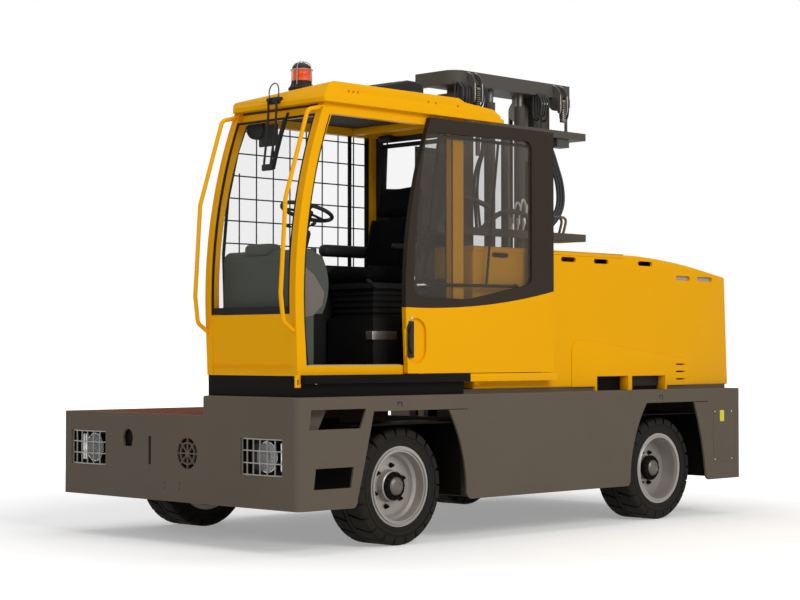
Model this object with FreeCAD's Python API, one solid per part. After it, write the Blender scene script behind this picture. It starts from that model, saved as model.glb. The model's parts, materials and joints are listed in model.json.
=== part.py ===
"""Side loader forklift with a mast that reaches sideways, a left-hand cab and a battery-electric drive.

Millimetres. +X forward (cab end), +Y left (cab side), +Z up, ground at z = 0.
The origin is the middle of the bounding box on the ground. The forks point to the right, along -Y.
"""
import FreeCAD, Part
import math
import os

V = FreeCAD.Vector

# ------------------------------------------------------------------ driving dimensions
# chassis
chassis_length = 5160.0
chassis_width = 2700.0
rail_reach = 110.0              # handrails stand this far ahead of the nose
skirt_bottom = 307.0
deck_height = 940.0
platform_height = 1083.0        # raised strip under the cab and the battery hood
platform_inner_y = 313.0        # step between load deck and raised strip
board_thickness = 40.0
skirt_plate = 16.0
nose_plate = 20.0
top_plate = 16.0
nose_bend_radius = 60.0
rib_y = -300.0                  # stiffening rib under each load deck
rib_depth = 60.0
edge_round = 10.0
board_count = 11
board_gap = 5.0
board_groove = 6.0

# openings of the nose plate
lamp_edge = {-1: 80.0, 1: 170.0}    # from the chassis side to the lamp window
lamp_span = 438.0
lamp_low = 538.0
lamp_high = 795.0
lamp_rim = 12.0                 # the lamp housing is this much larger than its window
lamp_depth = 90.0
guard_bow = 22.0
guard_bar = 4.0
plate_y = -22.5
plate_z = 420.0
plate_bolt_across = 175.0
plate_bolt_up = 40.0
plate_bolt_radius = 5.5
vent_y = 150.0
vent_z = 662.0
vent_radius = 113.0
vent_bar = 10.0
socket_y = -553.0
socket_z = 755.0
slot_y0 = -306.0
slot_y1 = -274.0
slot_low = 565.0
slot_high = 775.0

# wheels and arches
front_axle_setback = 1072.0
wheelbase = 3070.0
tyre_diameter = 850.0
tyre_width = 342.0
wheel_inset = 93.0              # tyre face behind the skirt's outer face
rim_flange_radius = 291.0
rim_bead_radius = 262.0
rim_wall = 14.0
bead_gap = 0.3
arch_top = 976.0
load_arch_top = 878.0           # the arches on the load side end below the deck
arch_foot = 362.0
liner_plate = 6.0
front_liner_half = 560.0
rear_liner_half = 552.0
front_liner_depth = 470.0
rear_liner_depth = 700.0
liner_height = 880.0

front_spindle_radius = 55.0
rear_spindle_radius = 45.0
kingpin_radius = 28.0
knuckle_half = 60.0
yoke_plate = 34.0
steer_arm_reach = 170.0
steer_arm_inset = 80.0
steer_rod_radius = 20.0
steer_rod_drop = 95.0

# mast well
mast_setback = 2720.0           # mast centre behind the nose
well_half = 850.0
well_inner_y = 1000.0
well_wall = 20.0
belly_top = 330.0
track_depth = 90.0
track_low = 350.0
track_high = 600.0
track_plate = 12.0

# mast
mast_near_y = 905.0             # rear face of the tie plates
rail_y0 = 580.0
rail_y1 = 800.0
outer_rail_half = 555.0
outer_rail_width = 100.0
rail_plate = 18.0
nest_gap = 6.0
inner_rail_width = 84.0
outer_mast_bottom = 372.0
outer_mast_top = 3430.0
inner_mast_bottom = 380.0
head_bottom = 3475.0
head_top = 3585.0
head_half = 700.0
head_depth = 425.0
tie_half = 895.0
tie_band = 55.0
upper_tie_z = 3150.0
lower_tie_z = 2310.0
tie_height = 60.0
reach_travel = 1600.0
lift_travel = 2100.0
lift_cylinder_offset = 180.0
lift_cylinder_y = 800.0
lift_barrel_radius = 45.0
lift_rod_radius = 30.0
slide_gap = 0.5
roller_gap = 3.0
carriage_beam_width = 50.0
reach_front_y = 330.0
barrel_top = 3380.0
sheave_radius = 90.0
sheave_z = 3360.0
sheave_offset = 290.0
chain_width = 40.0
chain_thickness = 14.0
low_tie_z = 1300.0
head_foot = 65.0                # the head's rear end hangs this much lower
hook_offset = (510.0, -520.0)   # middle of each pair of hose hooks, from the mast's middle
hook_spread = 42.0
hook_plate = 14.0
hook_reach = 80.0
hook_drop = 135.0
hose_wheel_radius = 58.0

# fork carriage
carriage_plate = 25.0
carriage_bottom = 420.0
carriage_height = 680.0
fork_bar_z = 1075.0
fork_bar_radius = 30.0
fork_bar_y = 385.0
fork_frame_half = 630.0
fork_width = 150.0
fork_thickness = 50.0
fork_length = 1200.0
fork_bottom = 500.0
fork_spacing = 700.0

carriage_y0 = 450.0
carriage_y1 = 745.0
tilt_rod_z = 600.0
tilt_rod_offset = 230.0
tilt_rod_radius = 18.0
ear_offset = 170.0
ear_width = 40.0
fork_beam_low = 560.0
fork_beam_height = 80.0
fork_beam_half_depth = 30.0

# cab
cab_inner_y = 330.0
cab_outer_y = 1295.0
cab_ring = 60.0                 # depth of the side frames
cab_bottom = 1230.0
cab_rear_setback = 1700.0
pillar_width = 80.0
panel_plate = 20.0
waist_z = 1655.0
glass = 6.0
roof_top = 3275.0
roof_bottom = 3130.0
roof_front_setback = 255.0
roof_rear_setback = 2097.0
roof_skin = 20.0
cab_top = 3130.0
roof_overhang = 55.0
fascia_low = 30.0
fascia_fold = 36.0
fascia_step = 4.0
roof_corner = 90.0
sill_height = 70.0
head_height = 75.0
panel_lip = 60.0
side_window_low = 1700.0
rear_window_low = 1900.0
window_border = 60.0
guard_pitch = 165.0
guard_wire = 5.0
beacon_setback = 520.0
unit_front_setback = 1150.0
unit_rear_setback = 1600.0
unit_height = 70.0

# inside the cab
dash_front_setback = 125.0
dash_depth = 265.0
dash_height = 360.0
dash_hump = 90.0
console_depth = 140.0
column_setback = 420.0
wheel_setback = 600.0
steering_z = 2270.0
steering_radius = 165.0
seat_setback = 1180.0
seat_low = 1900.0
seat_width = 500.0
seat_depth = 460.0
seat_thickness = 130.0
seat_back_height = 720.0
bellows_low = 1640.0

# door
door_thickness = 40.0
door_gap = 10.0
door_front_setback = 1060.0
door_rear_setback = 2680.0
door_bottom = 1240.0
door_top = 3106.0
door_travel = 1000.0
door_sag_front = 1722.0          # upper edge of the door panel: front, middle and rear
door_sag_mid = 1745.0
door_sag_rear = 1868.0
window_front = 1120.0
window_rear = 2420.0
window_low = 1785.0
window_high = 3010.0
recess_setback = 1145.0
recess_half = 105.0
recess_low = 1415.0
recess_high = 1535.0

# battery hood
hood_outer_y = 1250.0
hood_front_setback = 1853.0
hood_block_setback = 3600.0
hood_rear_setback = 5137.0
hood_top = 2190.0
hood_bottom = 1115.0
hood_plate = 20.0
hood_knee_setback = 4050.0
hood_slope_setback = 4784.0
hood_edge_round = 14.0
hood_crease = 4.0
hood_slots = ((2884.0, 3067.0, 2130.0), (3294.0, 3481.0, 2128.0), (3871.0, 4061.0, 2128.0),
              (4390.0, 4593.0, 2022.0), (4694.0, 4913.0, 2022.0))
hood_slot_radius = 11.0
hood_pockets = ((3319.0, 3722.0), (3775.0, 4224.0))
hood_pocket_top = 1200.0
louvre_front = 4385.0
louvre_rear = 4484.0
louvre_z = (1286.0, 1227.0, 1168.0)
battery_clear = 140.0
battery_height = 735.0

# handrails
handrail_radius = 15.0

# ------------------------------------------------------------------ derived places
nose_x = (chassis_length + rail_reach) / 2.0 - rail_reach
half_width = chassis_width / 2.0


def behind(setback):
    """X of a place that lies this far behind the nose."""
    return nose_x - setback


rear_x = behind(chassis_length)
front_axle_x = behind(front_axle_setback)
rear_axle_x = behind(front_axle_setback + wheelbase)
mast_x = behind(mast_setback)
axle_z = tyre_diameter / 2.0
wheel_outer_y = half_width - wheel_inset
wheel_centre_y = wheel_outer_y - tyre_width / 2.0
kingpin_y = wheel_outer_y - tyre_width
well_front_x = mast_x + well_half
well_rear_x = mast_x - well_half
deck_under = deck_height - board_thickness
platform_under = platform_height - top_plate
steer_rod_z = axle_z - steer_rod_drop
barrel_bottom = outer_mast_bottom
carriage_top = carriage_bottom + carriage_height
inner_rail_half = outer_rail_half - outer_rail_width - nest_gap
carriage_half = inner_rail_half - inner_rail_width - nest_gap
rail_middle_y = (rail_y0 + rail_y1) / 2.0
chain_y_front = rail_middle_y - sheave_radius
reach_rear_y = well_inner_y - 40.0
roller_radius = (track_high - track_low) / 2.0 - roller_gap
beam_half = well_half - track_depth - 10.0
ring_left = (cab_outer_y - cab_ring, cab_outer_y)
ring_right = (cab_inner_y, cab_inner_y + cab_ring)
pillar_points = ((40.0, cab_bottom), (20.0, waist_z), (65.0, 2360.0), (288.0, cab_top))
seat_x = behind(seat_setback)
seat_y = (cab_inner_y + cab_outer_y) / 2.0 + 17.5
door_y0 = cab_outer_y + door_gap
door_y1 = door_y0 + door_thickness


# ------------------------------------------------------------------ small builders
def box(xa, xb, ya, yb, za, zb):
    low = V(min(xa, xb), min(ya, yb), min(za, zb))
    return Part.makeBox(abs(xb - xa), abs(yb - ya), abs(zb - za), low)


def rod_x(xa, xb, y, z, radius):
    return Part.makeCylinder(radius, abs(xb - xa), V(min(xa, xb), y, z), V(1, 0, 0))


def rod_y(ya, yb, x, z, radius):
    return Part.makeCylinder(radius, abs(yb - ya), V(x, min(ya, yb), z), V(0, 1, 0))


def rod_z(za, zb, x, y, radius):
    return Part.makeCylinder(radius, abs(zb - za), V(x, y, min(za, zb)), V(0, 0, 1))


def fused(shapes):
    result = shapes[0]
    if len(shapes) > 1:
        result = shapes[0].multiFuse(shapes[1:])
    return result.removeSplitter()


def outline(start, steps, place):
    """Closed face. A step is one end point, or a middle and an end point of an arc."""
    edges = []
    here = start
    for step in steps + [(start,)]:
        end = step[-1]
        if len(step) == 2:
            edges.append(Part.Arc(place(here), place(step[0]), place(end)).toShape())
        elif (place(here) - place(end)).Length > 1e-6:
            edges.append(Part.makeLine(place(here), place(end)))
        here = end
    return Part.Face(Part.Wire(edges))


def side_prism(start, steps, ya, yb):
    """Outline of (x, z) points, made solid from ya to yb."""
    face = outline(start, steps, lambda p: V(p[0], min(ya, yb), p[1]))
    return face.extrude(V(0, abs(yb - ya), 0))


def plan_prism(start, steps, za, zb):
    """Outline of (x, y) points, made solid from za to zb."""
    face = outline(start, steps, lambda p: V(p[0], p[1], min(za, zb)))
    return face.extrude(V(0, 0, abs(zb - za)))


def front_prism(start, steps, xa, xb):
    """Outline of (y, z) points, made solid from xa to xb."""
    face = outline(start, steps, lambda p: V(min(xa, xb), p[0], p[1]))
    return face.extrude(V(abs(xb - xa), 0, 0))


def polygon(points):
    return points[0], [(point,) for point in points[1:]]


def turned(points, centre, axis):
    """Solid of revolution. A point is (distance along the axis, radius) from the centre."""
    side = V(0, 0, 1)
    spots = [centre + axis * along + side * radius for along, radius in points]
    wire = Part.makePolygon(spots + [spots[0]])
    return Part.Face(wire).revolve(centre, axis, 360)


def bent_tube(points, bend, radius):
    """Round bar along straight runs that are joined by tangent arcs."""
    edges = []
    here = points[0]
    for corner, after in zip(points[1:-1], points[2:]):
        back = (here - corner).normalize()
        ahead = (after - corner).normalize()
        turn = math.pi - back.getAngle(ahead)
        reach = bend * math.tan(turn / 2.0)
        into = corner + back * reach
        out = corner + ahead * reach
        middle_way = (back + ahead).normalize()
        centre = corner + middle_way * (bend / math.cos(turn / 2.0))
        top = centre - middle_way * bend
        edges.append(Part.makeLine(here, into))
        edges.append(Part.Arc(into, top, out).toShape())
        here = out
    edges.append(Part.makeLine(here, points[-1]))
    path = Part.Wire(edges)
    direction = points[1] - points[0]
    ring = Part.Wire(Part.makeCircle(radius, points[0], direction))
    return path.makePipeShell([ring], True, False)


def slot_along_x(xa, xb, z, radius, ya, yb):
    """Long hole with round ends, through a wall that faces Y."""
    low = min(xa, xb) + radius
    high = max(xa, xb) - radius
    return fused([
        box(low, high, ya, yb, z - radius, z + radius),
        rod_y(ya, yb, low, z, radius),
        rod_y(ya, yb, high, z, radius),
    ])


def groove(points, width, ya, yb):
    """Strip of constant width along a run of (x, z) points."""
    pieces = []
    for here, after in zip(points, points[1:]):
        length = math.hypot(after[0] - here[0], after[1] - here[1])
        side_x = -(after[1] - here[1]) / length * width / 2.0
        side_z = (after[0] - here[0]) / length * width / 2.0
        corners = [(here[0] + side_x, here[1] + side_z), (after[0] + side_x, after[1] + side_z),
                   (after[0] - side_x, after[1] - side_z), (here[0] - side_x, here[1] - side_z)]
        pieces.append(side_prism(*polygon(corners), ya, yb))
    for x, z in points:
        pieces.append(rod_y(ya, yb, x, z, width / 2.0))
    return fused(pieces)


def rounded(shape, radius, wanted):
    """Fillet on the edges that a test picks by their bounding box."""
    return shape.makeFillet(radius, [edge for edge in shape.Edges if wanted(edge.BoundBox)])


def mirrored_y(shape):
    return shape.mirror(V(0, 0, 0), V(0, 1, 0))


def mirrored_mast(shape):
    return shape.mirror(V(mast_x, 0, 0), V(1, 0, 0))


# ------------------------------------------------------------------ chassis
def arch_side(axle_x, ahead, side, top, upright):
    """Top, middle, foot and end points of one edge of a wheel opening, from its top down."""
    x_top, x_mid, x_low, x_end = side
    middle_z = (top + arch_foot) / 2.0
    bend_z = (skirt_bottom + arch_foot) / 2.0 - 10.0
    return [(axle_x + ahead * x_top, top), (axle_x + ahead * x_mid, middle_z), (axle_x + ahead * x_low, arch_foot),
            (axle_x + ahead * (x_low * 0.75 + x_end * 0.25), bend_z), (axle_x + ahead * x_end, upright)]


def arch_cut(axle_x, sides, top, ya, yb):
    """Wheel opening in a skirt: flat top, curved edges and a rounded foot on both sides."""
    low = skirt_bottom - 1.0
    f = arch_side(axle_x, 1.0, sides[0], top, low)
    r = arch_side(axle_x, -1.0, sides[1], top, low)
    return side_prism(f[4], [(f[3], f[2]), (f[1], f[0]), (r[0],), (r[1], r[2]), (r[3], r[4])], ya, yb)


# edge positions from the axle: at the top, half way down, at the foot, at the lower end
FRONT_ARCH = ((358.0, 434.0, 516.0, 560.0), (411.0, 556.0, 602.0, 690.0))
REAR_ARCH = ((287.0, 455.0, 509.0, 545.0), (366.0, 471.0, 529.0, 585.0))


def skirt_openings(ya, yb):
    """Two slanted windows ahead of the front wheel, and the relief slits behind both arches."""
    upper = [(behind(a), z) for a, z in ((114.0, 997.0), (639.0, 997.0), (583.0, 860.0), (95.0, 860.0))]
    lower = [(behind(a), z) for a, z in ((158.0, 594.0), (519.0, 594.0), (494.0, 450.0), (140.0, 450.0))]
    cuts = [side_prism(*polygon(upper), ya, yb), side_prism(*polygon(lower), ya, yb)]
    for axle_x, sides in ((front_axle_x, FRONT_ARCH), (rear_axle_x, REAR_ARCH)):
        edge = axle_x - sides[1][0]
        cuts.append(box(edge + 1, edge - relief_slit, ya, yb, arch_top - 5.0, arch_top))
    return cuts


relief_slit = 200.0


def vent(xa, xb):
    """Round vent of the horn: eight slots in a ring round eight wedges."""
    outer = rod_x(xa, xb, vent_y, vent_z, vent_radius).cut(rod_x(xa, xb, vent_y, vent_z, vent_radius * 0.74))
    inner = rod_x(xa, xb, vent_y, vent_z, vent_radius * 0.64).cut(rod_x(xa, xb, vent_y, vent_z, vent_radius * 0.2))
    holes = fused([outer, inner])
    bar = box(xa, xb, vent_y - vent_bar / 2, vent_y + vent_bar / 2, vent_z - vent_radius - 1,
              vent_z + vent_radius + 1)
    bars = [bar.rotated(V(xa, vent_y, vent_z), V(1, 0, 0), angle) for angle in (0.0, 45.0, 90.0, 135.0)]
    return holes.cut(Part.makeCompound(bars))


def nose_openings():
    """Lamp windows, towing socket, slot, vent and the holes for the number plate."""
    xa = nose_x - nose_plate - 1
    xb = nose_x + 1
    y = socket_y
    z = socket_z
    socket = front_prism((y - 62, z), [((y - 54, z + 32),), ((y, z + 66), (y + 54, z + 32)), ((y + 62, z),),
                                      ((y + 46, z - 64),), ((y - 46, z - 64),)], xa, xb)
    cuts = [lamp_window(-1), lamp_window(1), socket, rod_x(xa, xb, y, z + 92, 6.0),
            box(xa, xb, slot_y0, slot_y1, slot_low, slot_high), vent(xa, xb)]
    for dy in (-plate_bolt_across / 2, plate_bolt_across / 2):
        for dz in (-plate_bolt_up / 2, plate_bolt_up / 2):
            cuts.append(rod_x(xa, xb, plate_y + dy, plate_z + dz, plate_bolt_radius))
    return cuts


def main_frame():
    """Nose plate, left skirt, tail plate and the raised strip that carries cab and hood."""
    inner = half_width - skirt_plate
    r = nose_bend_radius
    d = r * (1.0 - math.sqrt(0.5))
    outer = plan_prism(
        (rear_x, -half_width),
        [((nose_x, -half_width),), ((nose_x, half_width - r),),
         ((nose_x - d, half_width - d), (nose_x - r, half_width)), ((rear_x, half_width),)],
        skirt_bottom, platform_height)
    low_deck = box(rear_x - 1, nose_x + 1, -half_width - 1, platform_inner_y, deck_height, platform_height + 1)
    outer = outer.cut(low_deck)
    outer = rounded(outer, edge_round * 3, lambda b: b.ZLength > platform_height - deck_height - 1
                    and b.XLength < 1 and b.YLength < 1 and abs(b.YMin - platform_inner_y) < 1
                    or b.XLength > chassis_length - 1 and abs(b.YMin - platform_inner_y) < 1
                    and b.ZMin > platform_height - 1 and b.YLength < 1)
    outer = rounded(outer, edge_round, lambda b: b.ZMin > platform_height - 1 and b.ZLength < 1
                    and b.YMin > platform_inner_y and b.XMax > nose_x - r - 1)
    hollow = plan_prism(
        (rear_x + nose_plate, -half_width - 1),
        [((nose_x - nose_plate, -half_width - 1),), ((nose_x - nose_plate, half_width - r),),
         ((nose_x - d - 5, half_width - d - 5), (nose_x - r, inner)), ((rear_x + nose_plate, inner),)],
        skirt_bottom - 1, platform_under)
    shell = outer.cut(hollow)
    well = box(well_front_x, well_rear_x, -half_width - 1, well_inner_y, skirt_bottom - 1, platform_height + 1)
    riser = box(well_front_x, nose_x - nose_plate, platform_inner_y, platform_inner_y + top_plate,
                deck_under, platform_under)
    tail_riser = box(rear_x + nose_plate, well_rear_x, platform_inner_y, platform_inner_y + top_plate,
                     deck_under, platform_under)
    gusset = side_prism(*polygon([(nose_x - nose_plate, platform_under), (behind(390.0), platform_under),
                                  (behind(225.0), 780.0), (nose_x - nose_plate, 780.0)]),
                        inner - 90.0, inner - 82.0)
    skirt_span = (half_width - nose_plate * 2, half_width + 1)
    cuts = [well] + nose_openings() + skirt_openings(*skirt_span)
    cuts.append(arch_cut(front_axle_x, FRONT_ARCH, arch_top, *skirt_span))
    cuts.append(arch_cut(rear_axle_x, REAR_ARCH, arch_top, *skirt_span))
    return fused([shell, riser, tail_riser, gusset]).cut(Part.makeCompound(cuts))


def lamp_span_y(side):
    """Both ends of a lamp window along Y, on the right (-1) or on the left (1)."""
    outer = half_width - lamp_edge[side]
    ends = (side * outer, side * (outer - lamp_span))
    return min(ends), max(ends)


def lamp_window(side):
    low, high = lamp_span_y(side)
    return box(nose_x - nose_plate - 1, nose_x + 1, low, high, lamp_low, lamp_high)


def right_skirts():
    """Outer skirts of the load decks, up to the deck's surface, with the ribs under the boards."""
    ya = -half_width
    yb = -half_width + skirt_plate
    front = box(well_front_x, nose_x - nose_plate, ya, yb, skirt_bottom, deck_height)
    rear = box(rear_x + nose_plate, well_rear_x, ya, yb, skirt_bottom, deck_height)
    front = front.cut(arch_cut(front_axle_x, FRONT_ARCH, load_arch_top, ya - 1, yb + 1))
    rear = rear.cut(arch_cut(rear_axle_x, REAR_ARCH, load_arch_top, ya - 1, yb + 1))
    front_rib = box(nose_x - nose_plate, well_front_x + well_wall, rib_y, rib_y + skirt_plate,
                    deck_under - rib_depth, deck_under)
    rear_rib = box(rear_x + nose_plate, well_rear_x - well_wall, rib_y, rib_y + skirt_plate,
                   deck_under - rib_depth, deck_under)
    return [front, rear, front_rib, rear_rib]


def deck_boards():
    """Planks of the two load decks, with grooves between them."""
    decks = []
    edge = -half_width + skirt_plate
    pitch = (platform_inner_y - edge) / board_count
    for x0, x1 in ((well_front_x, nose_x - nose_plate), (rear_x + nose_plate, well_rear_x)):
        deck = box(x0, x1, edge, platform_inner_y, deck_under, deck_height)
        grooves = [box(x0 - 1, x1 + 1, edge + i * pitch - board_gap / 2, edge + i * pitch + board_gap / 2,
                       deck_height - board_groove, deck_height + 1) for i in range(1, board_count)]
        decks.append(deck.cut(Part.makeCompound(grooves)))
    return decks


def well_frame():
    """Walls of the mast well, its floor, and the channels that the reach carriage rolls in."""
    skin = skirt_plate
    front = box(well_front_x, well_front_x + well_wall, -half_width + skin, half_width - skin,
                skirt_bottom, deck_under)
    rear = box(well_rear_x, well_rear_x - well_wall, -half_width + skin, half_width - skin,
               skirt_bottom, deck_under)
    end = box(well_front_x, well_rear_x, well_inner_y, well_inner_y + well_wall, skirt_bottom, platform_under)
    floor = box(well_front_x, well_rear_x, -half_width + skin, well_inner_y, skirt_bottom, belly_top)
    pieces = [front, rear, end, floor]
    for wall_x, toward in ((well_front_x, -1.0), (well_rear_x, 1.0)):
        far = wall_x + toward * track_depth
        low = box(wall_x, far, -half_width + skin, well_inner_y, track_low - track_plate, track_low)
        high = box(wall_x, far, -half_width + skin, well_inner_y, track_high, track_high + track_plate)
        pieces += [low, high]
    return fused(pieces)


def wheel_liners():
    """Closed black boxes over the wheels, open below and to the outside."""
    liners = []
    for axle_x, half, depth, room in (
            (front_axle_x, front_liner_half, front_liner_depth, 130.0),
            (rear_axle_x, rear_liner_half, rear_liner_depth, 215.0)):
        outer_y = half_width - skirt_plate
        inner_y = outer_y - depth
        shell = box(axle_x - half, axle_x + half, inner_y, outer_y, skirt_bottom + 30, liner_height)
        t = liner_plate
        space = box(axle_x - half + t, axle_x + half - t, inner_y + t, outer_y + 1,
                    skirt_bottom, liner_height - t)
        shell = shell.cut(space)
        shell = shell.cut(box(axle_x - room, axle_x + room, inner_y - 1, inner_y + t + 1,
                              skirt_bottom, axle_z + room))
        liners += [shell, mirrored_y(shell)]
    return liners


def front_axle():
    """Drive axle beam with a motor housing at each end, bolted up to the frame."""
    reach = kingpin_y + 20.0
    beam = rod_y(-reach, reach, front_axle_x, axle_z, 85.0)
    pieces = [beam]
    for side in (-1, 1):
        pieces.append(rod_y(side * 420, side * 780, front_axle_x, axle_z, 120.0))
        pieces.append(box(front_axle_x - 90, front_axle_x + 90, side * 480, side * 520, axle_z, deck_under))
    pieces.append(rod_y(-wheel_centre_y - 60, wheel_centre_y + 60, front_axle_x, axle_z, front_spindle_radius))
    return fused(pieces)


def rear_axle():
    """Steered axle beam, forked at each end round a knuckle, with the steering cylinder in front of it."""
    reach = kingpin_y - knuckle_half - 25.0
    pieces = [box(rear_axle_x - 60, rear_axle_x + 60, -reach, reach, axle_z - 75, axle_z + 75)]
    for side in (-1, 1):
        for low in (knuckle_half + 1.0, -knuckle_half - 1.0 - yoke_plate):
            arm = box(rear_axle_x - 45, rear_axle_x + 45, side * (reach - 40), side * (kingpin_y + 40),
                      axle_z + low, axle_z + low + yoke_plate)
            pieces.append(arm)
        pieces.append(box(rear_axle_x - 80, rear_axle_x + 80, side * 480, side * 520, axle_z, deck_under))
        pieces.append(box(rear_axle_x - 45, rear_axle_x + 45, side * (reach - 40), side * reach,
                          axle_z - knuckle_half - yoke_plate, axle_z + knuckle_half + yoke_plate))
    barrel_x = rear_axle_x + steer_arm_reach
    barrel = rod_y(-260, 260, barrel_x, steer_rod_z, 45.0)
    pieces.append(barrel)
    pieces.append(box(rear_axle_x + 50, barrel_x, -150, 150, steer_rod_z - 10, steer_rod_z + 35))
    body = fused(pieces)
    body = body.cut(rod_y(-270, 270, barrel_x, steer_rod_z, steer_rod_radius + slide_gap))
    for side in (-1, 1):
        hole = rod_z(axle_z - 200, axle_z + 200, rear_axle_x, side * kingpin_y, kingpin_radius + slide_gap)
        body = body.cut(hole)
    return body


def knuckle(side):
    """Kingpin, swivel block, stub axle and steering arm of one rear wheel."""
    y = side * kingpin_y
    pin = rod_z(axle_z - knuckle_half - yoke_plate - 6, axle_z + knuckle_half + yoke_plate + 6,
                rear_axle_x, y, kingpin_radius)
    block = rod_z(axle_z - knuckle_half, axle_z + knuckle_half, rear_axle_x, y, 58.0)
    stub = rod_y(y, side * (wheel_centre_y + 60.0), rear_axle_x, axle_z, rear_spindle_radius)
    arm_z = steer_rod_z - steer_rod_radius - 28.0
    swivel = rod_z(arm_z, axle_z - knuckle_half - yoke_plate - 6, rear_axle_x, y, 40.0)
    tip_y = side * (kingpin_y - steer_arm_inset)
    arm = plan_prism(
        *polygon([(rear_axle_x - 40, y - 25), (rear_axle_x + steer_arm_reach + 25, tip_y - 25),
                  (rear_axle_x + steer_arm_reach + 25, tip_y + 25), (rear_axle_x - 40, y + 25)]),
        arm_z, arm_z + 25.0)
    return fused([pin, block, stub, swivel, arm])


def steer_rod():
    """Through rod of the steering cylinder, an eye over each steering arm."""
    x = rear_axle_x + steer_arm_reach
    tip = kingpin_y - steer_arm_inset
    rod = rod_y(-tip, tip, x, steer_rod_z, steer_rod_radius)
    low = steer_rod_z - steer_rod_radius - 2.0
    eyes = [rod_z(low, low + 44, x, side * tip, 32.0) for side in (-1, 1)]
    return fused([rod] + eyes)


# ------------------------------------------------------------------ wheels
def tyre(axle_x, side):
    outer = tyre_diameter / 2.0
    h = tyre_width / 2.0
    lip = rim_flange_radius + 4
    seat = rim_bead_radius + bead_gap
    profile = [(-h, lip), (-h, outer - 55), (-h + 30, outer - 8), (-h + 60, outer), (h - 60, outer),
               (h - 30, outer - 8), (h, outer - 55), (h, lip), (h - 22, lip), (h - 22, seat),
               (-h + 22, seat), (-h + 22, lip)]
    return turned(profile, V(axle_x, side * wheel_centre_y, axle_z), V(0, side, 0))


def driven_rim(side):
    """Front rim: stepped flange, deep barrel and a dished disc with the planetary hub in its middle."""
    h = tyre_width / 2.0
    bead = rim_bead_radius
    inner = bead - rim_wall
    spindle = front_spindle_radius + slide_gap
    disc = 30.0
    profile = [(-h + 8, rim_flange_radius), (-h + 20, rim_flange_radius), (-h + 20, bead), (h - 20, bead),
               (h - 20, rim_flange_radius), (h - 8, rim_flange_radius), (h - 8, bead + 14), (h + 2, bead + 12),
               (h + 2, bead + 2), (h - 10, bead), (h - 10, bead - 12), (h - 34, inner),
               (disc + 60, inner - 4), (disc + 40, inner - 22), (disc + 14, inner - 34), (disc + 14, 118),
               (disc + 66, 112), (disc + 72, 104), (disc + 72, 92), (disc + 60, 86), (disc + 60, 70),
               (disc + 104, 64), (disc + 112, 54), (disc + 112, 0), (disc + 100, 0), (disc + 100, spindle),
               (-h + 30, spindle), (-h + 30, 95), (disc - 8, 112), (disc, inner - 44), (disc + 24, inner - 30),
               (disc + 34, inner - 14), (-h + 30, inner - 10), (-h + 8, bead - 6)]
    return turned(profile, V(front_axle_x, side * wheel_centre_y, axle_z), V(0, side, 0))


def steered_rim(side):
    """Rear rim: one flange ring, open outwards, its disc and bearing hub deep inside."""
    h = tyre_width / 2.0
    bead = rim_bead_radius
    inner = bead - rim_wall
    spindle = rear_spindle_radius + slide_gap
    disc = 0.0
    profile = [(-h + 8, rim_flange_radius), (-h + 20, rim_flange_radius), (-h + 20, bead), (h - 20, bead),
               (h - 20, rim_flange_radius), (h - 8, rim_flange_radius), (h - 8, bead + 10), (h - 2, bead + 4),
               (h - 2, bead - 6), (h - 30, inner), (disc + 14, inner), (disc + 14, 100), (disc + 66, 92),
               (disc + 72, 84), (disc + 72, 60), (disc + 96, 54), (disc + 96, 0), (disc + 84, 0),
               (disc + 84, spindle), (disc - 60, spindle), (disc - 60, 80), (disc, 110), (disc, inner),
               (-h + 30, inner), (-h + 8, bead - 6)]
    return turned(profile, V(rear_axle_x, side * wheel_centre_y, axle_z), V(0, side, 0))


# ------------------------------------------------------------------ reach carriage and mast
def reach_carriage():
    """Frame with four rollers in the well's channels, carrying the outer mast."""
    roller_z = track_low + slide_gap + roller_radius
    pieces = []
    for side in (-1, 1):
        outer = mast_x + side * beam_half
        inner = mast_x + side * (beam_half - carriage_beam_width)
        pieces.append(box(inner, outer, reach_front_y, reach_rear_y, track_low + 20, track_high - 10))
        pieces.append(box(mast_x + side * (outer_rail_half + slide_gap), inner, rail_y0, rail_y1,
                          track_low + 20, track_high - 10))
        for y in (reach_front_y + 110, reach_rear_y - 130):
            roller = rod_x(outer, mast_x + side * (well_half - 12), y, roller_z, roller_radius)
            pieces.append(roller)
    pieces.append(box(mast_x - beam_half, mast_x + beam_half, mast_near_y, reach_rear_y,
                      track_low + 20, track_high - 10))
    pieces.append(box(mast_x - beam_half, mast_x + beam_half, rail_y0, mast_near_y,
                      track_low, outer_mast_bottom))
    return fused(pieces)


def channel(outer_half, width, ya, yb, za, zb):
    """Mast rail on +X: web outside, two flanges that point to the mast's middle."""
    outside = mast_x + outer_half
    inside = outside - width
    solid = box(inside, outside, ya, yb, za, zb)
    hollow = box(inside - 1, outside - rail_plate, ya + rail_plate, yb - rail_plate, za - 1, zb + 1)
    return solid.cut(hollow)


def tie(z, half, height):
    """Flat tie round the back of the mast, with wings beside the rails."""
    whole = box(mast_x - half, mast_x + half, rail_y0 + 20, mast_near_y, z, z + height)
    gap = box(mast_x - outer_rail_half + 2, mast_x + outer_rail_half - 2, rail_y0, mast_near_y - tie_band,
              z - 1, z + height + 1)
    return whole.cut(gap)


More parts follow.
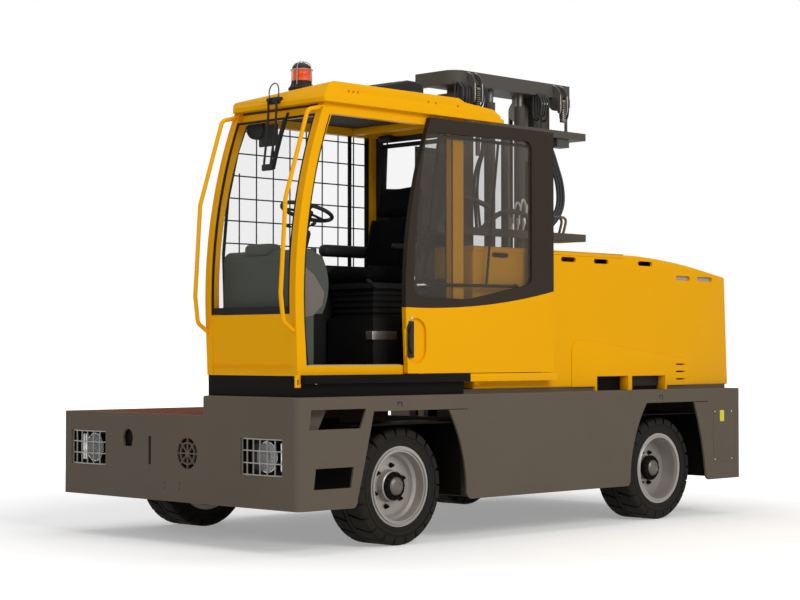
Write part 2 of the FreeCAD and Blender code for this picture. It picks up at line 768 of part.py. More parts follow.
def outer_mast():
    rail = channel(outer_rail_half, outer_rail_width, rail_y0, rail_y1, outer_mast_bottom, outer_mast_top)
    pieces = [rail, mirrored_mast(rail)]
    pieces.append(tie(upper_tie_z, tie_half, tie_height))
    pieces.append(tie(lower_tie_z, tie_half, tie_height))
    pieces.append(tie(low_tie_z, outer_rail_half + 40, 120.0))
    pieces.append(box(mast_x - outer_rail_half, mast_x + outer_rail_half, mast_near_y - tie_band, mast_near_y,
                      outer_mast_bottom, 560.0))
    post = rod_z(outer_mast_bottom, upper_tie_z + tie_height, mast_x, lift_cylinder_y, 30.0)
    pieces.append(post)
    for z in (low_tie_z, lower_tie_z, upper_tie_z):
        pieces.append(box(mast_x - 15, mast_x + 15, lift_cylinder_y, mast_near_y - 10, z, z + tie_height))
    for side in (-1, 1):
        x = mast_x + side * (outer_rail_half - 10)
        for z in (low_tie_z, outer_mast_bottom):
            pieces.append(box(x - 10, x + 10, rail_y1 - 2, mast_near_y, z, z + 120))
    guide_x = mast_x - head_half + 25.0
    pieces.append(rod_z(upper_tie_z + tie_height, head_bottom - head_foot - 8.0, guide_x, mast_near_y - 30.0, 13.0))
    hanger_x = mast_x - outer_rail_half - 60.0
    pieces.append(box(hanger_x - 90, hanger_x + 60, mast_near_y - 120, mast_near_y - 20, upper_tie_z - 70,
                      upper_tie_z))
    return fused(pieces)


def lift_barrels():
    barrels = []
    for side in (-1, 1):
        x = mast_x + side * lift_cylinder_offset
        tube = rod_z(barrel_bottom, barrel_top, x, lift_cylinder_y, lift_barrel_radius)
        bore = rod_z(barrel_bottom + 40, barrel_top + 1, x, lift_cylinder_y, lift_rod_radius + slide_gap)
        barrels.append(tube.cut(bore))
    return barrels


def lift_rods():
    rods = []
    for side in (-1, 1):
        x = mast_x + side * lift_cylinder_offset
        rods.append(rod_z(barrel_bottom + 60, head_bottom, x, lift_cylinder_y, lift_rod_radius))
    return rods


def hose_hook(x):
    """Curved finger on the outside of the mast head that keeps the hoses on their wheel."""
    y = mast_near_y
    z = head_bottom
    tip = y + hook_reach
    return front_prism(
        (y - 2, head_top - 12),
        [((y + 52, head_top - 40), (tip, z + 10)), ((tip, z - hook_drop + 15),),
         ((tip - 14, z - hook_drop), (tip - 30, z - hook_drop + 12)), ((tip - 32, z - 5),),
         ((y + 28, z + 40), (y - 2, z + 55))],
        x - hook_plate / 2, x + hook_plate / 2)


def mast_head():
    """Band round the top of the inner mast: rounded at the front end, dropped at the rear end."""
    band = box(mast_x - head_half, mast_x + head_half, mast_near_y - head_depth, mast_near_y,
               head_bottom, head_top)
    band = rounded(band, 110.0, lambda b: b.ZLength > head_top - head_bottom - 1 and b.XMin > mast_x
                   and b.YMin > mast_near_y - 1)
    band = rounded(band, 20.0, lambda b: b.ZLength > head_top - head_bottom - 1 and b.XMax < mast_x
                   and b.YMin > mast_near_y - 1)
    space = box(mast_x - head_half + tie_band, mast_x + head_half - tie_band, mast_near_y - head_depth - 1,
                mast_near_y - tie_band, head_bottom - 1, head_top + 1)
    pieces = [band.cut(space)]
    pieces.append(box(mast_x - head_half + 20, mast_x + head_half - 20, rail_y0, mast_near_y - 20,
                      head_bottom, head_bottom + 25))
    pieces.append(box(mast_x - head_half, mast_x - head_half + tie_band, mast_near_y - 90, mast_near_y - 6,
                      head_bottom - head_foot, head_bottom + 5))
    for offset in hook_offset:
        x = mast_x + offset
        for side in (-1, 1):
            pieces.append(hose_hook(x + side * hook_spread))
        axis_y = mast_near_y + 10.0
        axis_z = head_bottom - hose_wheel_radius
        pieces.append(rod_x(x - hook_spread, x + hook_spread, axis_y, axis_z, hose_wheel_radius - 8))
        pieces.append(box(x - hook_spread, x + hook_spread, mast_near_y - 45, mast_near_y - 4,
                          axis_z - 20, head_bottom + 5))
    return pieces


def inner_mast():
    rail = channel(inner_rail_half, inner_rail_width, rail_y0 + nest_gap, rail_y1 - nest_gap,
                   inner_mast_bottom, head_bottom)
    pieces = [rail, mirrored_mast(rail)] + mast_head()
    for side in (-1, 1):
        x0 = mast_x + side * inner_rail_half
        x1 = mast_x + side * (outer_rail_half - rail_plate - 6)
        radius = (rail_y1 - rail_y0) / 2.0 - rail_plate - slide_gap
        for z in (inner_mast_bottom + 110, inner_mast_bottom + 500):
            pieces.append(rod_x(x0, x1, rail_middle_y, z, radius))
    return fused(pieces)


def lift_chains():
    """Chain wheels under the mast head, each with its leaf chain down to the fork carriage."""
    y = rail_middle_y
    pieces = []
    for side in (-1, 1):
        x = mast_x + side * sheave_offset
        wheel = rod_x(x - 22, x + 22, y, sheave_z, sheave_radius - 5)
        pin = rod_x(x - 38, x + 38, y, sheave_z, 18.0)
        cheek_a = box(x - 38, x - 30, y - 35, y + 35, sheave_z - 35, head_bottom)
        cheek_b = box(x + 30, x + 38, y - 35, y + 35, sheave_z - 35, head_bottom)
        strand = box(x - 20, x + 20, chain_y_front, chain_y_front + chain_thickness,
                     carriage_top - 60, sheave_z)
        back = box(x - 20, x + 20, y + sheave_radius - chain_thickness, y + sheave_radius,
                   upper_tie_z - 200, sheave_z)
        over = rod_x(x - 20, x + 20, y, sheave_z, sheave_radius)
        over = over.common(box(x - 21, x + 21, y - 200, y + 200, sheave_z, sheave_z + 200))
        pieces.append(fused([wheel, pin, cheek_a, cheek_b, strand, back, over]))
    return pieces


def lift_carriage():
    """Side plates with rollers in the inner rails, cross plates, pivot ears and the tilt cylinders."""
    pieces = []
    radius = (rail_y1 - rail_y0) / 2.0 - nest_gap - rail_plate - slide_gap
    y = rail_middle_y
    front = carriage_y0 + carriage_plate
    cuts = [rod_x(mast_x - fork_frame_half, mast_x + fork_frame_half, fork_bar_y, fork_bar_z,
                  fork_bar_radius + slide_gap)]
    for side in (-1, 1):
        outer = mast_x + side * carriage_half
        inner = mast_x + side * (carriage_half - carriage_plate)
        pieces.append(box(inner, outer, carriage_y0, carriage_y1, carriage_bottom, carriage_top))
        reach = mast_x + side * (inner_rail_half - rail_plate - 6)
        for z in (carriage_bottom + 110, carriage_top - 110):
            pieces.append(rod_x(outer, reach, y, z, radius))
        ear_x = mast_x + side * ear_offset
        pieces.append(box(ear_x - ear_width / 2, ear_x + ear_width / 2, fork_bar_y - 45, front,
                          fork_bar_z - 60, fork_bar_z + 45))
        x = mast_x + side * tilt_rod_offset
        pieces.append(rod_y(carriage_y0, carriage_y1 - 60, x, tilt_rod_z, 40.0))
        cuts.append(rod_y(carriage_y0 - 1, carriage_y1 - 90, x, tilt_rod_z, tilt_rod_radius + slide_gap))
        strand_x = mast_x + side * sheave_offset
        cuts.append(box(strand_x - chain_width / 2 - 6, strand_x + chain_width / 2 + 6, chain_y_front - 6,
                        chain_y_front + chain_thickness + 6, carriage_top - 26, carriage_top + 1))
    for za, zb in ((tilt_rod_z - 60, tilt_rod_z + 60), (carriage_top - 140, carriage_top)):
        pieces.append(box(mast_x - carriage_half, mast_x + carriage_half, carriage_y0, front, za, zb))
    pieces.append(box(mast_x - carriage_half, mast_x + carriage_half, chain_y_front - 40, chain_y_front + 60,
                      carriage_top - 25, carriage_top))
    return fused(pieces).cut(Part.makeCompound(cuts))


def fork_frame():
    """Lower beam and round fork bar, joined by end plates; it tilts about the bar."""
    half = fork_frame_half
    end = 30.0
    pieces = [
        box(mast_x - half, mast_x + half, fork_bar_y - fork_beam_half_depth, fork_bar_y + fork_beam_half_depth,
            fork_beam_low, fork_beam_low + fork_beam_height),
        rod_x(mast_x - half, mast_x + half, fork_bar_y, fork_bar_z, fork_bar_radius),
    ]
    for side in (-1, 1):
        pieces.append(box(mast_x + side * half, mast_x + side * (half - end), fork_bar_y - 40, fork_bar_y + 30,
                          fork_beam_low, fork_bar_z + 40))
    return fused(pieces)


def tilt_rods():
    """Two push rods with round heads that bear on the fork frame's lower beam."""
    rods = []
    face = fork_bar_y + fork_beam_half_depth + slide_gap
    for side in (-1, 1):
        x = mast_x + side * tilt_rod_offset
        head = Part.makeSphere(tilt_rod_radius, V(x, face + tilt_rod_radius, tilt_rod_z))
        shaft = rod_y(face + tilt_rod_radius, carriage_y1 - 120, x, tilt_rod_z, tilt_rod_radius)
        rods.append(fused([head, shaft]))
    return rods


def fork(side):
    x = mast_x + side * fork_spacing / 2.0
    w = fork_width / 2.0
    shank_y1 = fork_bar_y - 30 - slide_gap
    shank_y0 = shank_y1 - fork_thickness
    shank = box(x - w, x + w, shank_y0, shank_y1, fork_bottom, fork_bar_z)
    tip_y = shank_y0 - fork_length
    blade = front_prism(
        *polygon([(shank_y1, fork_bottom), (shank_y1, fork_bottom + fork_thickness),
                  (tip_y, fork_bottom + fork_thickness), (tip_y, fork_bottom + fork_thickness - 12),
                  (shank_y0 - fork_length * 0.5, fork_bottom)]),
        x - w, x + w)
    eye = rod_x(x - w, x + w, fork_bar_y, fork_bar_z, fork_bar_radius + 28)
    link = box(x - w, x + w, shank_y0, fork_bar_y, fork_bar_z - 40, fork_bar_z + 40)
    body = fused([shank, blade, eye, link])
    return body.cut(rod_x(x - w - 1, x + w + 1, fork_bar_y, fork_bar_z, fork_bar_radius + slide_gap))




# ------------------------------------------------------------------ cab
def front_curve(offset):
    """Foot, waist, arc middle and top of the A-pillar, moved rearwards by an offset."""
    return [(behind(setback + offset), z) for setback, z in pillar_points]


def side_ring(ya, yb, rear_band):
    """Side frame of the cab: sill, curved A-pillar, roof rail and rear pillar in one ring."""
    foot, waist, middle, top = front_curve(0.0)
    rear = behind(cab_rear_setback)
    outer = side_prism(foot, [(waist,), (middle, top), ((rear, cab_top),), ((rear, cab_bottom),)], ya, yb)
    foot, waist, middle, top = front_curve(pillar_width)
    low = cab_bottom + sill_height
    head = cab_top - head_height
    shrink = (top[0] + 12.0, head)
    inner = side_prism((foot[0], low), [(waist,), (middle, shrink), ((rear + rear_band, head),),
                                        ((rear + rear_band, low),)], ya - 1, yb + 1)
    return outer.cut(inner)


def cab_frame():
    """Two side rings, joined across the front and the rear at roof height and at the floor."""
    left = side_ring(*ring_left, 120.0)
    right = side_ring(*ring_right, 80.0)
    rear = behind(cab_rear_setback)
    top_x = behind(pillar_points[3][0])
    ya = ring_right[0]
    yb = ring_left[1]
    ties = [
        box(top_x - 30, top_x - 100, ya, yb, cab_top - head_height, cab_top),
        box(rear, rear + 60, ya, yb, cab_top - head_height, cab_top),
        box(rear, rear + 60, ya, yb, cab_bottom, cab_bottom + 60),
        box(behind(45.0), behind(105.0), ya, yb, cab_bottom, cab_bottom + 60),
    ]
    return fused([left, right] + ties)


def cab_base():
    """Black plinth on the platform, with the cab floor on it."""
    walls = box(behind(50.0), behind(cab_rear_setback), cab_inner_y, cab_outer_y, platform_height, cab_bottom)
    return walls.cut(box(behind(70.0), behind(cab_rear_setback - 20.0), cab_inner_y + 20, cab_outer_y - 20,
                         platform_height - 1, cab_bottom - panel_plate))


def cab_front_panel():
    """Lower front panel between the pillars, with a folded lip along its foot."""
    foot, waist, middle, top = front_curve(6.0)
    z = cab_bottom + panel_lip
    back_foot = (foot[0] - panel_plate, z)
    back_waist = (waist[0] - panel_plate, waist[1])
    panel = side_prism((foot[0], z), [(waist,), (back_waist,), (back_foot,)], ring_right[1], ring_left[0])
    lip = box(foot[0] - 2, foot[0] + 12, ring_right[0] + 10, ring_left[1] - 10, z, z + 8)
    return fused([panel, lip]).cut(Part.makeCompound([filled_side(*ring_left), filled_side(*ring_right)]))


def filled_side(ya, yb):
    """Outline of a cab side frame, filled."""
    foot, waist, middle, top = front_curve(0.0)
    rear = behind(cab_rear_setback)
    return side_prism(foot, [(waist,), (middle, top), ((rear, cab_top),), ((rear, cab_bottom),)], ya, yb)


def cab_rear_wall():
    rear = behind(cab_rear_setback)
    head = cab_top - head_height
    wall = box(rear + 5, rear + 5 + panel_plate, ring_right[1], ring_left[0], cab_bottom + 60, head)
    window = box(rear, rear + 40, ring_right[1] + window_border, ring_left[0] - window_border,
                 rear_window_low, head - 40)
    return wall.cut(window)


def cab_side_wall():
    """Lower wall on the load side, up to the side window."""
    y = ring_right[0] + 10
    return box(behind(130.0), behind(cab_rear_setback - 80.0), y, y + panel_plate,
               cab_bottom + sill_height, side_window_low)


def cab_windows():
    """Curved windscreen, load-side window and rear window."""
    foot, waist, middle, top = front_curve(12.0)
    back = front_curve(12.0 + glass)
    head = (top[0] + 12.0, cab_top - head_height)
    screen = side_prism(waist, [(middle, head), ((head[0] - glass, head[1]),), (back[2], back[1])],
                        ring_right[1], ring_left[0])
    rear = behind(cab_rear_setback)
    rear_pane = box(rear + 10, rear + 10 + glass, ring_right[1] + window_border, ring_left[0] - window_border,
                    rear_window_low, head[1] - 40)
    mid = ring_right[0] + 20
    shape = side_ring_opening(mid, mid + glass)
    side_pane = shape.cut(box(nose_x, rear, mid - 1, mid + glass + 1, cab_bottom, side_window_low))
    return [screen, rear_pane, side_pane]


def side_ring_opening(ya, yb):
    foot, waist, middle, top = front_curve(pillar_width)
    rear = behind(cab_rear_setback) + 80.0
    low = cab_bottom + sill_height
    head = cab_top - head_height
    return side_prism((foot[0], low), [(waist,), (middle, (top[0] + 12.0, head)), ((rear, head),), ((rear, low),)],
                      ya, yb)


def window_guard():
    """Grid of bars outside the load-side window."""
    y = ring_right[0] - 6.0
    x0 = behind(190.0)
    x1 = behind(cab_rear_setback - 40.0)
    z0 = side_window_low - 10.0
    z1 = cab_top - 45.0
    bend_z = z1 - 385.0
    bars = []
    count = int((x0 - x1) / guard_pitch)
    for i in range(count + 1):
        high = z1 if i < count else bend_z
        bars.append(rod_z(z0, high, x1 + i * guard_pitch, y, guard_wire))
    rows = int((z1 - z0) / guard_pitch)
    for j in range(rows + 1):
        z = z0 + j * guard_pitch
        bars.append(rod_x(x1, x0 if z < bend_z else x0 - 120, y, z, guard_wire))
    for x in (x1 + guard_pitch, x1 + (count - 2) * guard_pitch):
        bars.append(rod_y(y, ring_right[0] + 10, x, z0, guard_wire))
        bars.append(rod_y(y, ring_right[0], x, z1 - 15, guard_wire))
    return fused(bars)


def roof_outline(ya, yb):
    """Side view of the roof: sloped front fascia, level top, two kinks down to the thin rear tip."""
    front = behind(roof_front_setback)
    tip = behind(roof_rear_setback)
    return side_prism((front + 15, cab_top),
                      [((front + 22, cab_top + fascia_low),), ((front - 36, roof_top - 12),),
                       ((front - 75, roof_top),), ((behind(1600.0), roof_top),), ((behind(1668.0), roof_top - 26),),
                       ((behind(1985.0), roof_top - 52),), ((behind(2058.0), roof_top - 96),),
                       ((behind(2062.0), cab_top + 34),), ((tip, cab_top + 24),), ((tip, cab_top),)], ya, yb)


def cab_roof():
    """Roof pan with a folded fascia that runs on past the cab over the door rail."""
    ya = cab_inner_y
    yb = half_width - 2
    front = behind(roof_front_setback)
    tip = behind(roof_rear_setback)
    fold = cab_top + fascia_low + fascia_fold
    whole = roof_outline(ya, yb)
    side_step = box(front + 40, tip - 1, yb - fascia_step, yb + 1, fold, roof_top + 1)
    corner = box(front + 40, front - roof_corner, ya - 1, ya + roof_corner, cab_top - 1, roof_top + 1)
    corner = corner.cut(rod_z(cab_top - 2, roof_top + 2, front - roof_corner, ya + roof_corner, roof_corner + 24))
    space = box(front - 90, behind(cab_rear_setback), ya + roof_skin, yb - roof_overhang, cab_top - 1,
                roof_top - roof_skin - 60)
    behind_cab = box(behind(cab_rear_setback + 40), tip - 1, ya - 1, door_y0 - 60, 0, roof_top + 1)
    cuts = [side_step, corner, space, behind_cab]
    for setback in (473.0, 517.0, 561.0, 1274.0, 1353.0, 1589.0):
        cuts.append(rod_y(yb - 40, yb + 1, behind(setback), fold + 20.0, 9.0))
    return whole.cut(Part.makeCompound(cuts))


def roof_unit():
    """Flat box with the hose and cable run on the rear of the roof."""
    body = box(behind(unit_front_setback), behind(unit_rear_setback), 480.0, 980.0, roof_top,
               roof_top + unit_height)
    return rounded(body, 25.0, lambda b: b.ZMin > roof_top + unit_height - 1)


def beacon():
    """Warning light: black foot, round lens and a flat cap."""
    x = behind(beacon_setback)
    y = cab_inner_y + 470.0
    base = rod_z(roof_top, roof_top + 40, x, y, 62.0)
    lens = rod_z(roof_top + 40, roof_top + 128, x, y, 55.0)
    lens = rounded(lens, 20.0, lambda b: b.ZMin > roof_top + 127 and b.XLength > 100)
    return fused([base, lens])


def dash():
    """Console across the cab below the windscreen, with a rounded hood and a foot."""
    x0 = behind(dash_front_setback)
    x1 = x0 - dash_depth
    low = waist_z + 5.0
    high = low + dash_height
    ya = ring_right[1] + 10
    yb = ring_left[0] - 10
    body = side_prism((x0, low),
                      [((x0 - 5, high),), ((x0 - 30, high + dash_hump - 20), (x0 - 85, high + dash_hump)),
                       ((x1 + 60, high + 40),), ((x1, low + 200), (x1 + 60, low))], ya, yb)
    foot = box(x0 + 15, x0 + 15 - console_depth, ya, yb, cab_bottom, low)
    return fused([body, foot])


def steering_gear():
    """Column, wheel and spinner knob."""
    foot = V(behind(column_setback), seat_y, cab_bottom)
    head = V(behind(wheel_setback), seat_y, steering_z)
    along = (head - foot).normalize()
    column = Part.makeCylinder(32.0, (head - foot).Length, foot, along)
    column = column.cut(box(foot.x - 100, foot.x + 100, foot.y - 100, foot.y + 100, 0, cab_bottom))
    ring = Part.makeTorus(steering_radius, 14.0, head + along * 20, along)
    hub = Part.makeCylinder(45.0, 40.0, head, along)
    pieces = [column, ring, hub]
    side = V(0, 1, 0)
    for angle in (90, 210, 330):
        ray = FreeCAD.Rotation(along, angle).multVec(side)
        pieces.append(Part.makeCylinder(10.0, steering_radius, head + along * 20, ray))
    knob_at = FreeCAD.Rotation(along, 150).multVec(side)
    pieces.append(Part.makeCylinder(20.0, 60.0, head + along * 20 + knob_at * steering_radius, along))
    return fused(pieces)


def seat_base():
    """Box with the seat's spring bellows and slide."""
    half = seat_width / 2.0
    folds = 5
    pitch = (seat_low - 40.0 - bellows_low) / folds
    pieces = [
        box(seat_x - 260, seat_x + 200, seat_y - half + 10, seat_y + half - 10, cab_bottom, bellows_low),
        box(seat_x - 260, seat_x + 210, seat_y - half + 15, seat_y + half - 15, seat_low - 40, seat_low - 0.3),
    ]
    for i in range(folds):
        z = bellows_low + i * pitch
        for inset, za, zb in ((40.0, z, z + pitch * 0.5), (58.0, z + pitch * 0.5, z + pitch)):
            pieces.append(box(seat_x - 260 + inset, seat_x + 210 - inset, seat_y - half + inset,
                              seat_y + half - inset, za, zb))
    return fused(pieces)


def seat_cushion():
    half = seat_width / 2.0
    block = box(seat_x - 190, seat_x - 190 + seat_depth, seat_y - half, seat_y + half, seat_low,
                seat_low + seat_thickness)
    return rounded(block, 40.0, lambda b: b.ZMin > seat_low + seat_thickness - 30)


def seat_back():
    top = seat_low + seat_back_height
    half = seat_width / 2.0 - 10.0
    lean = side_prism((seat_x - 195, seat_low),
                      [((seat_x - 330, top),), ((seat_x - 450, top - 20),), ((seat_x - 330, seat_low),)],
                      seat_y - half, seat_y + half)
    return rounded(lean, 30.0, lambda b: b.ZLength > seat_back_height - 30)


def handrails():
    """Grab tubes in front of both A-pillars."""
    rails = []
    for y in (ring_left[0] + 35, ring_right[0] + 25):
        points = [V(behind(275.0), y, cab_top - 34), V(behind(151.0), y, cab_top - 63), V(behind(-52.0), y, 2443.0),
                  V(behind(15.0 - rail_reach), y, 1790.0), V(behind(-70.0), y, 1600.0), V(behind(22.0), y, 1540.0)]
        rails.append(bent_tube(points, 60.0, handrail_radius))
    return [rail.cut(cab_frame()).cut(cab_roof()) for rail in rails]


def headlamps():
    """Housing behind each lamp window: dark dish, open to the front, round lamp in its middle."""
    lamps = []
    back = nose_x - nose_plate
    z = (lamp_low + lamp_high) / 2.0
    for side in (-1, 1):
        low, high = lamp_span_y(side)
        shell = box(back - lamp_depth, back, low - lamp_rim, high + lamp_rim, lamp_low - lamp_rim,
                    lamp_high + lamp_rim)
        room = box(back - lamp_depth + 12, back + 1, low, high, lamp_low, lamp_high)
        lamp = rod_x(back - lamp_depth, back - 14, (low + high) / 2.0 - side * 40.0, z, 100.0)
        lamps.append(fused([shell.cut(room), lamp]))
    return lamps


def lamp_guards():
    """Grille in each lamp window: a frame and bars that bow outwards in the middle."""
    guards = []
    mid_z = (lamp_low + lamp_high) / 2.0
    b = guard_bar
    for side in (-1, 1):
        low, high = lamp_span_y(side)
        x = nose_x - nose_plate + b
        bars = []
        for i in range(7):
            y = low + (high - low) * i / 6.0
            bow = guard_bow * (1.0 - ((i - 3.0) / 3.0) ** 2)
            width = b if 0 < i < 6 else b * 1.5
            ya = min(max(y - width, low), high - 2 * width)
            bars.append(box(x - b + bow, x + b + bow, ya, ya + 2 * width, lamp_low, lamp_high))
        for z in (lamp_low + b, mid_z - 43.0, mid_z + 43.0, lamp_high - b):
            rail = plan_prism((x - b, low), [((x - b + guard_bow, (low + high) / 2.0), (x - b, high)),
                                            ((x + b, high),),
                                            ((x + b + guard_bow, (low + high) / 2.0), (x + b, low))],
                              z - b, z + b)
            bars.append(rail)
        guards.append(fused(bars))
    return guards


# ------------------------------------------------------------------ sliding door
def door_blank():
    """Whole outline of the sliding door: its front edge follows the A-pillar."""
    foot, waist, middle, top = front_curve(door_front_setback - pillar_points[0][0])
    rear = behind(door_rear_setback)
    return side_prism((foot[0], door_bottom), [(waist,), (middle, (top[0] + 10, door_top)), ((rear, door_top),),
                                               ((rear, door_bottom),)], door_y0, door_y1)


def window_outline(shrink, ya, yb):
    """Window of the sliding door: slanted, curved front edge, sagging sill, rounded corners."""
    rear = behind(window_rear - shrink)
    high = window_high - shrink
    low = window_low + shrink
    front = behind(window_front + shrink)
    pane = side_prism(
        (front - 110, low + 8),
        [((front - 30, low + 32), (front - 4, low + 115)),
         ((front - 30, 2350.0), (front - 128, high - 75)),
         ((front - 146, high - 30), (front - 190, high - 14)), ((front - 230, high - 10),),
         ((rear + 70, high + 6),), ((rear + 20, high - 12), (rear, high - 65)), ((rear, low + 195),),
         ((rear + 14, low + 146), (rear + 62, low + 118)), ((front - 600, low), )], ya, yb)
    return pane


def lower_part(ya, yb):
    """Region below the sagging line that parts the door panel from the door frame."""
    front = behind(door_front_setback - 100.0)
    rear = behind(door_rear_setback + 10.0)
    mid = (behind(door_front_setback) + rear) / 2.0
    return side_prism((front, door_bottom - 10),
                      [((front, door_sag_front - 4),), ((mid, door_sag_mid), (rear, door_sag_rear)),
                       ((rear, door_bottom - 10),)], ya, yb)


def door_panel():
    """Lower, painted half of the sliding door, with a handle recess and feet on the rail."""
    span = (door_y0 - 1, door_y1 + 1)
    leaf = door_blank().common(lower_part(*span))
    x = behind(recess_setback)
    recess = fused([box(x - recess_half, x + recess_half, door_y1 - 22, door_y1 + 1, recess_low, recess_high),
                    rod_y(door_y1 - 22, door_y1 + 1, x, recess_high, recess_half),
                    rod_y(door_y1 - 22, door_y1 + 1, x, recess_low, recess_half)])
    leaf = leaf.cut(recess).cut(window_outline(0.0, *span))
    feet = [box(behind(door_front_setback + a), behind(door_front_setback + a + 60), door_y0 + 8, door_y1 - 8,
                door_bottom - 4.5, door_bottom) for a in (120.0, 1480.0)]
    return fused([leaf] + feet)


def door_frame():
    """Upper half of the sliding door, round its window."""
    span = (door_y0 - 1, door_y1 + 1)
    return door_blank().cut(lower_part(*span)).cut(window_outline(0.0, *span))


def door_window():
    mid = (door_y0 + door_y1) / 2.0
    return window_outline(0.0, mid - 3, mid + 3)


def door_rail():
    """Bottom rail of the sliding door, along the cab sill and the front of the hood."""
    x0 = behind(60.0)
    x1 = behind(door_rear_setback + 40)
    top = door_bottom - 5.0
    return fused([
        box(x0, x1, cab_outer_y, door_y1, top - 15, top),
        box(x0, behind(cab_rear_setback), cab_outer_y, cab_outer_y + 10, top - 60, top),
        box(behind(cab_rear_setback), x1, hood_outer_y, door_y1, top - 15, top),
    ])


# ------------------------------------------------------------------ battery hood
def hood_profile(shrink):
    front = behind(hood_front_setback + shrink)
    top = hood_top - shrink
    rear = behind(hood_rear_setback - shrink)
    low = hood_bottom if shrink == 0 else hood_bottom - 1
    return (front, low), [((front, top),), ((behind(hood_knee_setback), top),),
                          ((behind(hood_slope_setback), hood_top - 78 - shrink),),
                          ((rear + 40, hood_top - 150 - shrink),), ((rear, low),)]


def battery_hood():
    """Hollow cover: narrow beside the mast, full width behind it."""
    start, steps = hood_profile(0.0)
    solid = side_prism(start, steps, cab_inner_y, hood_outer_y)
    start, steps = hood_profile(hood_plate)
    inside = side_prism(start, steps, cab_inner_y + hood_plate, hood_outer_y - hood_plate)
    block = behind(hood_block_setback)
    notch = box(nose_x, block, cab_inner_y - 1, well_inner_y, 0, 4000)
    inner_notch = box(nose_x, block - hood_plate, cab_inner_y - 1, well_inner_y + hood_plate, 0, 4000)
    solid = solid.cut(notch)
    solid = rounded(solid, hood_edge_round, lambda b: b.ZMin > hood_bottom + 100 and b.YMin > hood_outer_y - 1
                    and b.XLength > 100)
    shell = solid.cut(inside.cut(inner_notch))
    ya = hood_outer_y - hood_plate - 1
    yb = hood_outer_y + 1
    cuts = [slot_along_x(behind(a), behind(b), z, hood_slot_radius, ya, yb) for a, b, z in hood_slots]
    for z in louvre_z:
        cuts.append(slot_along_x(behind(louvre_front), behind(louvre_rear), z, 7.0, ya, yb))
    for a, b in hood_pockets:
        cuts.append(box(behind(a), behind(b), ya, yb, hood_bottom - 1, hood_pocket_top))
    crease = [(behind(2995.0), hood_bottom - 1), (behind(3004.0), 1398.0), (behind(3030.0), 1466.0),
              (behind(3075.0), 1487.0), (behind(3243.0), 1484.0), (behind(4505.0), 1341.0)]
    cuts.append(groove(crease, 5.0, hood_outer_y - hood_crease, yb))
    rim = [(behind(hood_front_setback + 8), hood_top - 52), (behind(hood_knee_setback), hood_top - 52),
           (behind(hood_slope_setback), hood_top - 130)]
    cuts.append(groove(rim, 4.0, hood_outer_y - hood_crease, yb))
    return shell.cut(Part.makeCompound(cuts))


def hood_base():
    """Black strip between the platform and the hood."""
    x0 = behind(cab_rear_setback + 20)
    x1 = behind(hood_rear_setback - 30)
    block = behind(hood_block_setback)
    return fused([
        box(x0, x1, well_inner_y + 30, hood_outer_y - 10, platform_height, hood_bottom),
        box(block - 10, x1, cab_inner_y + 10, hood_outer_y - 10, platform_height, hood_bottom),
    ])


def battery():
    front = behind(hood_block_setback + hood_plate + battery_clear)
    rear = behind(hood_rear_setback - 2 * battery_clear)
    return box(front, rear, cab_inner_y + 60, hood_outer_y - 60, hood_bottom, hood_bottom + battery_height)


# ------------------------------------------------------------------ write the parts
def build():
    parts = {
        "main_frame": main_frame(),
        "right_skirts": right_skirts(),
        "well_frame": well_frame(),
        "deck_boards": deck_boards(),
        "wheel_liners": wheel_liners(),
        "front_axle": front_axle(),
        "rear_axle": rear_axle(),
        "knuckle_rl": knuckle(1),
        "knuckle_rr": knuckle(-1),
        "steer_rod": steer_rod(),
        "reach_carriage": reach_carriage(),
        "outer_mast": outer_mast(),
        "lift_barrels": lift_barrels(),
        "lift_rods": lift_rods(),
        "inner_mast": inner_mast(),
        "lift_chains": lift_chains(),
        "lift_carriage": lift_carriage(),
        "tilt_rods": tilt_rods(),
        "fork_frame": fork_frame(),
        "fork_front": fork(1),
        "fork_rear": fork(-1),
        "cab_base": cab_base(),
        "cab_frame": cab_frame(),
        "cab_front_panel": cab_front_panel(),
        "cab_rear_wall": cab_rear_wall(),
        "cab_side_wall": cab_side_wall(),
        "cab_windows": cab_windows(),
        "window_guard": window_guard(),
        "cab_roof": cab_roof(),
        "roof_unit": roof_unit(),
        "beacon": beacon(),
        "dash": dash(),
        "steering_gear": steering_gear(),
        "seat_base": seat_base(),
        "seat_cushion": seat_cushion(),
        "seat_back": seat_back(),
        "handrails": handrails(),
        "headlamps": headlamps(),
        "lamp_guards": lamp_guards(),
        "door_panel": door_panel(),
        "door_frame": door_frame(),
        "door_window": door_window(),
        "door_rail": door_rail(),
        "battery_hood": battery_hood(),
        "hood_base": hood_base(),
        "battery": battery(),
    }
    for name, axle_x, side, rim in (("fl", front_axle_x, 1, driven_rim), ("fr", front_axle_x, -1, driven_rim),
                                    ("rl", rear_axle_x, 1, steered_rim), ("rr", rear_axle_x, -1, steered_rim)):
        parts["tyre_" + name] = tyre(axle_x, side)
        parts["rim_" + name] = rim(side)
    return parts


os.makedirs("parts", exist_ok=True)
for node, shape in build().items():
    if isinstance(shape, list):
        shape = Part.makeCompound(shape)
    if not shape.isValid():
        print("invalid", node)
    print(node, len(shape.Solids), round(shape.Volume / 1e9, 4))
    shape.exportStep("parts/" + node + ".step")
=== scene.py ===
import bpy
import json
import math
from mathutils import Matrix, Vector


